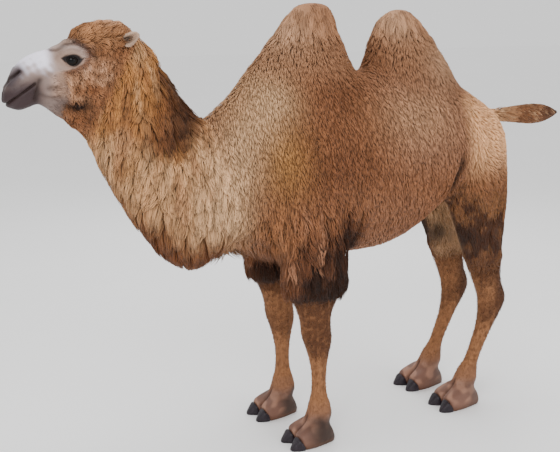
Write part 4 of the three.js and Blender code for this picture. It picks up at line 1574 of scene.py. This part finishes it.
@dataclass
class Fleece:
    """The coat: locks rooted in the skin, marched along it and drawn together in clumps."""

    plan: Plan
    growth: Growth
    markings: Markings
    skin: bpy.types.Object
    net: Net
    cell: float = 0.016
    root_depth: float = 0.0025
    lock_floor: float = 0.003
    guide_steps: int = 4
    rng: np.random.Generator = field(init=False)

    def __post_init__(self) -> None:
        """Read the fields of growth at the vertices of the skin."""
        self.rng = np.random.default_rng(SEED)
        net, p = self.net, self.plan.of(self.net.verts)
        self.normal = net.relaxed(net.normals(), 1)
        flow = self.growth.flow(p)
        flow = unit(flow + 0.16 * np.column_stack([waves(p, 0.16, 31 + i) for i in range(3)]))
        for _ in range(6):
            flow = flow - self.normal * (flow * self.normal).sum(1, keepdims=True)
            flow = net.relaxed(unit(flow), 2)
        self.flow = unit(flow - self.normal * (flow * self.normal).sum(1, keepdims=True))
        self.normal = unit(self.normal)
        self.length = self.growth.length(p)
        self.depth = self.growth.depth(p)
        self.curl = self.growth.curl(p)
        self.free = self._free(p)
        self.region = self._regions(p)
        a, b, c = corners_of(net)
        self.area = np.linalg.norm(np.cross(b - a, c - a), axis=1) / 2
        self.middle = (a + b + c) / 3
        self.tree = BVHTree.FromPolygons(net.verts.tolist(), net.tris.tolist())
        uv = np.empty(len(net.tris) * 6, np.float32)
        self.skin.data.uv_layers[BAKE_MAP].data.foreach_get("uv", uv)
        self.uv = uv.reshape(-1, 3, 2)

    def _free(self, p: Array) -> Array:
        """How freely locks hang from the body, 0 where they lie on it.

        Args:
            p: Places on the plan, one row each.

        Returns:
            The freedom at each place.
        """
        neck = ramp(-0.02, 0.08, self.plan.neck(p)) * ramp(0.06, 0.0, self.plan.head(p))
        out = 0.75 * neck * band(p, self.markings.throat, 0.09)
        out += 0.35 * neck * band(p, self.markings.mane, 0.08)
        out += 0.60 * self.plan.fore(p) * ramp(1.0, 0.86, p[:, 2])
        out += 0.40 * self.plan.hind(p) * ramp(1.05, 0.95, p[:, 2]) * ramp(0.84, 0.90, p[:, 2])
        out += 0.25 * ramp(1.95, 2.05, p[:, 2]) * self.plan.hump_span(p)
        out += 0.5 * ramp(1.38, 1.46, p[:, 0])
        out += 0.95 * self.growth.brisket(p)
        return np.clip(out, 0, 0.92)

    def _regions(self, p: Array) -> Array:
        """Which piece of the coat each place belongs to.

        Args:
            p: Places on the plan, one row each.

        Returns:
            The index of the piece at each place.
        """
        order = list(Region)
        out = np.where(p[:, 1] < 0, order.index(Region.TRUNK_LEFT), order.index(Region.TRUNK_RIGHT))
        neck = self.plan.neck(p) > 0
        out = np.where(neck & (p[:, 1] < 0), order.index(Region.NECK_LEFT), out)
        out = np.where(neck & (p[:, 1] >= 0), order.index(Region.NECK_RIGHT), out)
        out = np.where((p[:, 2] > 1.80) & ~neck, order.index(Region.HUMPS), out)
        out = np.where(self.plan.fore(p) > 0.5, order.index(Region.FORELEGS), out)
        out = np.where(self.plan.hind(p) > 0.5, order.index(Region.HIND_LEGS), out)
        out = np.where(p[:, 2] < 0.76, order.index(Region.SHANKS), out)
        out = np.where((p[:, 0] > 1.30) & (p[:, 2] > 1.40), order.index(Region.TAIL), out)
        head = self.plan.head(p) > 0
        wool = self.plan.woolly(p) > 0.004
        out = np.where(head & wool, order.index(Region.HEAD), out)
        out = np.where((head & ~wool) | (self.growth.ear(p) > 0.5), order.index(Region.FACE), out)
        return out

    def _at(self, face: Array, weight: Array, values: Array) -> Array:
        """A field of the skin at points given by face and corner weights.

        Args:
            face: Face of each point.
            weight: Corner weights of each point.
            values: One row for each vertex of the skin.

        Returns:
            One row for each point.
        """
        corner = values[self.net.tris[face]]
        shape = weight if values.ndim == 1 else weight[..., None]
        return (corner * shape).sum(1)

    def _scatter(self, weight: Array, count: int) -> tuple[Array, Array]:
        """Well spread points on the skin.

        Args:
            weight: How much of the points each face takes.
            count: How many points.

        Returns:
            The face and the corner weights of each point.
        """
        cell = np.floor((self.middle - self.middle.min(0)) / self.cell).astype(np.int64)
        code = np.zeros(len(cell), np.int64)
        for bit in range(9):
            for axis in range(3):
                code |= ((cell[:, axis] >> bit) & 1) << (3 * bit + axis)
        order = np.argsort(code, kind="stable")
        total = np.cumsum(weight[order])
        at = (np.arange(count) + self.rng.random(count)) / count * total[-1]
        face = order[np.minimum(np.searchsorted(total, at), len(order) - 1)]
        u, v = self.rng.random((2, count))
        over = u + v > 1
        u, v = np.where(over, 1 - u, u), np.where(over, 1 - v, v)
        return face, np.column_stack([1 - u - v, u, v])

    def _march(self, face: Array, weight: Array, steps: int, scale: Array) -> tuple[Array, Array, Array]:
        """Lead each lock over the skin.

        Args:
            face: Face of each root.
            weight: Corner weights of each root.
            steps: Number of steps to the tip.
            scale: Length of each lock over the field's length.

        Returns:
            Points, outward and across directions along each lock.
        """
        n = len(face)
        point = self._at(face, weight, self.net.verts)
        normal = unit(self._at(face, weight, self.normal))
        flow = unit(self._at(face, weight, self.flow))
        length = self._at(face, weight, self.length) * scale
        depth = self._at(face, weight, self.depth)
        free = self._at(face, weight, self.free)
        curl = self._at(face, weight, self.curl)
        plan = self.plan.of(point)
        relief = 0.86 + self.growth.relief(plan) * self._ridges(plan) + 0.10 * self.rng.normal(size=n)
        crest = depth * np.clip(relief, 0.30, 1.12)
        phase = (waves(plan, 0.05, 43) + 0.25 * self.rng.random(n)) * 2 * math.pi
        turns = self.rng.uniform(0.7, 1.1, n)
        step = length / steps
        points, outs, sides = [point - normal * self.root_depth], [normal], [unit(np.cross(flow, normal))]
        here = point
        rise = np.sin(np.linspace(0, 1, steps + 1) * math.pi * 0.62)
        down = np.array([0.0, 0.0, -1.0])
        for i in range(1, steps + 1):
            side = unit(np.cross(flow, normal))
            wiggle = curl * 0.75 * np.sin(phase + turns * 2 * math.pi * i / steps)
            way = unit(flow + side * wiggle[:, None] + down * (0.9 * free)[:, None])
            here = here + way * step[:, None]
            found = [self.tree.find_nearest(v) for v in here.tolist()]
            near = np.array([f[0] for f in found])
            at = np.array([f[2] for f in found])
            corners = self.net.tris[at]
            normal = unit(self.normal[corners].mean(1))
            height = ((here - near) * normal).sum(1)
            wanted = crest * rise[i]
            hanging = np.maximum(wanted * 0.5, height * free + wanted * (1 - free))
            lifted = np.where(free > 0.05, hanging, wanted)
            surface = here - normal * height[:, None]
            here = surface + normal * lifted[:, None]
            flow = unit(self.flow[corners].mean(1) * (1 - free[:, None]) + flow * free[:, None])
            flow = unit(flow - normal * (flow * normal).sum(1, keepdims=True) * (1 - free[:, None]))
            points.append(here)
            outs.append(normal)
            sides.append(unit(np.cross(way, normal)))
        return np.stack(points, 1), np.stack(outs, 1), np.stack(sides, 1)

    def _guides(self) -> tuple[KDTree, Array]:
        """Lead a lock for each clump.

        Returns:
            A tree of the clumps' roots, and their paths.
        """
        pitch = np.clip(self.length[self.net.tris].mean(1) * 0.75, 0.014, 0.075)
        weight = self.area / pitch**2
        count = int(weight.sum())
        face, corner = self._scatter(weight, count)
        path, _, _ = self._march(face, corner, self.guide_steps, np.full(count, 1.12))
        tree = KDTree(count)
        for i, root in enumerate(path[:, 0].tolist()):
            tree.insert(root, i)
        tree.balance()
        LOG.info("%d clumps", count)
        return tree, path

    def build(self) -> None:
        """Make every piece of the coat."""
        tree, guide = self._guides()
        shade = self.rng.random(len(guide))
        wool = CoatFinish("coat_wool").material()
        curls = CoatFinish("coat_curl", root=0.64, tip=1.14, spread=0.26).material()
        short = CoatFinish("coat_short", root=0.90, tip=1.06, spread=0.18).material()
        shag = CoatFinish("coat_shag", root=0.48, tip=1.24, spread=0.40).material()
        finish = {
            Region.FACE: short,
            Region.SHANKS: short,
            Region.FORELEGS: shag,
            Region.HEAD: curls,
            Region.TAIL: shag,
        }
        region_of = self.region[self.net.tris]
        for index, region in enumerate(Region):
            mine = (region_of == index).sum(1) >= 2
            bias = self._density(region)
            weight = self.area * mine * bias
            face, corner = self._scatter(weight, region.count)
            n = region.count
            scale = self.rng.uniform(0.72, 1.22, n)
            points, outs, sides = self._march(face, corner, region.rings, scale)
            nearest = np.array([tree.find(v)[1] for v in points[:, 0].tolist()])
            t = np.arange(region.rings + 1) / region.rings
            pull = 0.55 * t**1.4
            exact = t * self.guide_steps
            low = np.minimum(exact.astype(int), self.guide_steps - 1)
            led = guide[nearest][:, low] * (1 - (exact - low))[None, :, None]
            led = led + guide[nearest][:, low + 1] * (exact - low)[None, :, None]
            loose = 0.35 + 2.2 * self.growth.relief(self.plan.of(points[:, 0]))
            own_pull = pull[None, :] * (np.minimum(loose, 1.1) * self.rng.uniform(0.5, 1.1, n))[:, None]
            if region in (Region.FACE, Region.SHANKS):
                own_pull = own_pull * 0.3
            points = points + (led - points) * own_pull[..., None]
            points[..., 2] = np.maximum(points[..., 2], self.lock_floor)
            shape = np.interp(t, [0, 0.25, 0.55, 0.8, 1.0], [0.70, 1.0, 0.92, 0.60, 0.0])
            length = self._at(face, corner, self.length) * scale
            width = np.minimum(region.width, 0.26 * length) * self.rng.uniform(0.7, 1.3, n)
            width = width[:, None] * shape[None]
            locks = Locks(points, outs, sides, width, width * 0.42)
            own = 0.45 * self.rng.random(n) + 0.55 * shade[nearest]
            patch = (self.uv[face] * corner[..., None]).sum(1)
            mesh = locks.mesh(region.label, own, patch)
            each = len(mesh.vertices) // n
            root = self.plan.of(self._at(face, corner, self.net.verts))
            height = ((points[:, -2] - points[:, 0]) * outs[:, 0]).sum(1)
            # painted light on ridges and standing locks, painted shade in the grooves
            colour = self.markings.colour(root) * self._light(root, height)[:, None]
            set_marking(mesh, np.repeat(colour, each, 0))
            mesh.materials.append(finish.get(region, wool))
            obj = add_object(region.label, mesh)
            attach(obj, "root")
            LOG.info("%s: %d locks", region.label, n)

    def _ridges(self, plan: Array) -> Array:
        """Ridges and grooves of the coat, which run down the body."""
        return 0.6 * waves(plan, 0.060, 41, (1.0, 1.0, 3.2)) + 0.5 * waves(plan, 0.028, 42, (1.0, 1.0, 2.8))

    def _light(self, root: Array, height: Array) -> Array:
        """Locks on ridges, and those that stand higher, are painted lighter as if lit, and those in grooves
        painted darker as shade.
        """
        ridge = 0.75 * self.growth.relief(root) * self._ridges(root)
        return np.clip(0.98 + ridge + 3.0 * (height - 0.008), 0.55, 1.30)

    def _density(self, region: Region) -> Array:
        """How many locks a face takes beside others of its piece.

        Args:
            region: The piece.

        Returns:
            The share of each face.
        """
        length = self.length[self.net.tris].mean(1)
        p = self.plan.of(self.middle)
        if region is Region.FACE:
            near_wool = ramp(-0.09, 0.0, self.plan.woolly(p))
            eye = blob(p, (EYE_PLAN_X, 0.10, EYE_PLAN_Z), (0.040, 0.05, 0.026))
            return np.clip(near_wool**2 + self.growth.ear(p) - 1.5 * eye, 0.0005, 2.0)
        if region is Region.SHANKS:
            return ramp(0.10, 0.16, p[:, 2]) + 0.001
        bias = np.clip(1.2 - 4.0 * length, 0.5, 1.2)
        return bias * (1 - 0.85 * self.growth.ear_base(p)) if region is Region.HEAD else bias


# ---------------------------------------------------------------- eyes, lashes and nails
@dataclass
class Eyes:
    """Eyeballs with iris and pupil, and the lashes of the lids."""

    plan: Plan
    face: Face
    lash_length: float = 0.016
    lash_root: float = 0.002
    lashes_up: int = 70
    lashes_low: int = 34

    def build(self) -> None:
        """Make both eyeballs and the lashes."""
        finish = EyeFinish().material()
        for side, name in ((-1, "eye_left"), (1, "eye_right")):
            self._ball(side, name, finish)
        self._lashes()

    def _ball(self, side: int, node: str, finish: bpy.types.Material) -> None:
        """Make one eyeball in place of its solid.

        Args:
            side: -1 for the left, 1 for the right.
            node: Name of the solid.
            finish: Its material.
        """
        centre, outward, rearward, upward = self.face.frame(side)
        ball = bmesh.new()
        bmesh.ops.create_uvsphere(ball, u_segments=48, v_segments=32, radius=self.face.radius)
        mesh = closed(ball, node + "ball")
        verts = np.empty(len(mesh.vertices) * 3)
        mesh.vertices.foreach_get("co", verts)
        local = verts.reshape(-1, 3)
        off = np.degrees(np.arccos(np.clip(local[:, 2] / self.face.radius, -1, 1)))
        bulge = 1.0 + 0.05 * np.exp(-((off / 30.0) ** 2))
        wide = np.hypot(local[:, 0] * 0.80, local[:, 1] * 1.25) / self.face.radius
        turned = local[:, :1] * rearward + local[:, 1:2] * upward + local[:, 2:] * outward
        place = centre + turned * bulge[:, None]
        mesh.vertices.foreach_set("co", place.astype(np.float32).ravel())
        front = local[:, 2] > 0
        pupil = np.hypot(local[:, 0] * 0.75, local[:, 1] * 1.5) / self.face.radius
        gaze = np.where(front, np.where(pupil < 0.44, pupil * 0.9, np.maximum(wide, 0.43)), 1.0)
        set_attribute(mesh, "gaze", "FLOAT", gaze)
        turn = np.arctan2(local[:, 1], local[:, 0])
        set_attribute(mesh, "fibre", "FLOAT_VECTOR", np.column_stack([np.cos(turn), np.sin(turn), 0 * turn]))
        mesh.polygons.foreach_set("use_smooth", np.ones(len(mesh.polygons), bool))
        work = bmesh.new()
        work.from_mesh(mesh)
        bmesh.ops.recalc_face_normals(work, faces=work.faces)
        work.to_mesh(mesh)
        work.free()
        mesh.materials.append(finish)
        obj = add_object(node + "_ball", mesh)
        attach(obj, "root")
        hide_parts(node)

    def _lashes(self) -> None:
        """Make the lashes of both eyes as one piece."""
        rng = np.random.default_rng(SEED + 5)
        rows = []
        for side in (-1, 1):
            centre, outward, rearward, upward = self.face.frame(side)
            upper, lower = (self.lashes_up, self.face.upper, 1), (self.lashes_low, -self.face.lower, -1)
            for count, half, rise in (upper, lower):
                for s in np.linspace(-0.92, 0.92, count):
                    width = s * self.face.half_width + self.face.set_back
                    height = half * (1 - s**2) + self.face.lift
                    radius = self.face.radius + 0.0035
                    way = unit(rearward * width + upward * height
                               + outward * math.sqrt(max(radius**2 - width**2 - height**2, 1e-8)))
                    root = centre + way * radius
                    long = self.lash_length * (1.0 if rise > 0 else 0.6) * rng.uniform(0.75, 1.15)
                    spread = rearward * (0.5 * s + rng.normal() * 0.08)
                    lean = unit(way + upward * (-0.35 * rise) + spread)
                    lift = upward * (0.45 * rise)
                    sunk = root - way * self.lash_root
                    path = [sunk + (lean * t + lift * t * t) * long for t in (0, 0.4, 0.75, 1.0)]
                    rows.append((np.array(path), way, rearward))
        points = np.stack([row[0] for row in rows])
        outs = np.stack([np.tile(row[1], (4, 1)) for row in rows])
        sides = np.stack([np.tile(row[2], (4, 1)) for row in rows])
        width = np.tile(np.array([0.00045, 0.0004, 0.00028, 0.0]), (len(rows), 1))
        locks = Locks(points, outs, sides, width, width)
        mesh = locks.mesh("lashes", rng.random(len(rows)), np.tile([0.5, 0.5], (len(rows), 1)))
        mesh.uv_layers.remove(mesh.uv_layers[BAKE_MAP])
        set_marking(mesh, np.tile(Tone.LID.linear() * 0.6, (len(mesh.vertices), 1)))
        mesh.materials.append(CoatFinish("lash_hair", root=0.8, tip=0.9, spread=0.1).material())
        obj = add_object("lashes", mesh)
        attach(obj, "root")


@dataclass
class Nails:
    """The eight nails, rounded and ridged, each sunk into its toe."""

    voxel: float = 0.0030
    sink: float = 0.008
    slim: float = 0.96
    taper: float = 0.42

    def build(self) -> None:
        """Make every nail in place of its solid."""
        finish = HornFinish().material()
        for name in sorted(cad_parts):
            if "nail" in name:
                self._nail(name, finish)

    def _nail(self, node: str, finish: bpy.types.Material) -> None:
        """Round one nail off.

        Args:
            node: Name of the solid.
            finish: Its material.
        """
        work = welded(node)
        low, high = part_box(node)
        middle = (low + high) / 2
        for vert in work.verts:
            if vert.co.x > high.x - 0.035 and vert.normal.x > 0.5:
                vert.co.x += self.sink
            toward_tip = min(max((high.x - vert.co.x) / (high.x - low.x), 0.0), 1.0)
            vert.co.y = middle.y + (vert.co.y - middle.y) * self.slim * (1 - self.taper * toward_tip**2)
            vert.co.z = vert.co.z * self.slim * (1 - 1.3 * self.taper * toward_tip**1.4)
        obj = add_object(node + "_horn", closed(work, node + "_horn"))
        wrap(obj, self.voxel)
        net = Net.read(obj.evaluated_get(bpy.context.evaluated_depsgraph_get()).to_mesh())
        bpy.data.objects.remove(obj)
        floor = net.verts[:, 2] < 0.004
        net.verts = net.relaxed(net.verts, 9, np.where(floor, 0.25, 0.5))
        normal = net.normals()
        ridge = 0.0006 * np.sin((net.verts[:, 0] - low.x) / 0.0065 * 2 * math.pi)
        net.verts = net.verts + normal * (ridge * ramp(0.1, 0.5, normal[:, 2]))[:, None]
        net.verts[:, 2] = np.where(floor, NAIL_FLOOR, np.maximum(net.verts[:, 2], NAIL_FLOOR))
        piece = net.write(node + "_horn")
        piece.data.materials.append(finish)
        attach(piece, "root")
        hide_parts(node)


# ---------------------------------------------------------------- studio
@dataclass
class Studio:
    """Pale floor, soft lights and the camera."""

    plan: Plan
    camera_at: Point = (-2.181, -4.109, 2.162)
    look_at: Point = (0.0, 0.0, 1.070)
    lens: float = 62.92

    def build(self) -> None:
        """Set the studio up."""
        self._floor()
        self._world()
        self._light("key", (-3.2, -4.2, 4.6), 3.0, 190.0)
        self._light("fill", (2.8, -4.6, 2.6), 3.4, 50.0)
        self._light("top", (0.3, 0.6, 5.2), 3.6, 80.0)
        self._light("back", (2.6, 4.2, 3.6), 3.0, 60.0)
        self._camera()

    def _floor(self) -> None:
        """Lay the floor."""
        work = bmesh.new()
        bmesh.ops.create_grid(work, x_segments=2, y_segments=2, size=30.0)
        mesh = closed(work, "floor")
        mesh.materials.append(FloorFinish().material())
        floor = add_object("floor", mesh)

    def _world(self) -> None:
        """Surround the studio with even pale light."""
        world = bpy.data.worlds.new("studio")
        world.use_nodes = True
        back = world.node_tree.nodes["Background"]
        back.inputs["Color"].default_value = (1.0, 1.0, 1.0, 1.0)
        back.inputs["Strength"].default_value = 1.08
        bpy.context.scene.world = world

    def _light(self, name: str, at: Point, size: float, power: float) -> None:
        """Hang a soft square light that looks at the animal.

        Args:
            name: Name of the light.
            at: Place on the plan.
            size: Length of its side.
            power: Power in watts.
        """
        data = bpy.data.lights.new(name, "AREA")
        data.energy = power
        data.size = size
        light = add_object(name, data)
        light.location = self.plan.place(*at)
        aim = self.plan.place(0.0, 0.0, 1.1) - light.location
        light.rotation_euler = aim.to_track_quat("-Z", "Y").to_euler()

    def _camera(self) -> None:
        """Stand the camera at the viewing angle."""
        data = bpy.data.cameras.new("camera")
        data.sensor_fit = "HORIZONTAL"
        data.sensor_width = 36.0
        data.lens = self.lens
        camera = add_object("camera", data)
        camera.location = self.plan.place(*self.camera_at)
        aim = self.plan.place(*self.look_at) - camera.location
        camera.rotation_euler = aim.to_track_quat("-Z", "Y").to_euler()
        bpy.context.scene.camera = camera


def main() -> None:
    """Build the animal and its studio."""
    logging.basicConfig(level=logging.INFO, format="%(relativeCreated)7d %(message)s")
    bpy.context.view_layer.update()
    plan = Plan()
    markings = Markings(plan)
    growth = Growth(plan, markings)
    hide = Hide(plan, growth)
    skin = hide.build(markings)
    LOG.info("skin")
    Eyes(plan, Face(plan)).build()
    LOG.info("eyes")
    Nails().build()
    LOG.info("nails")
    Fleece(plan, growth, markings, skin, hide.net).build()
    LOG.info("coat")
    Studio(plan).build()


if __name__ == "__main__":
    main()
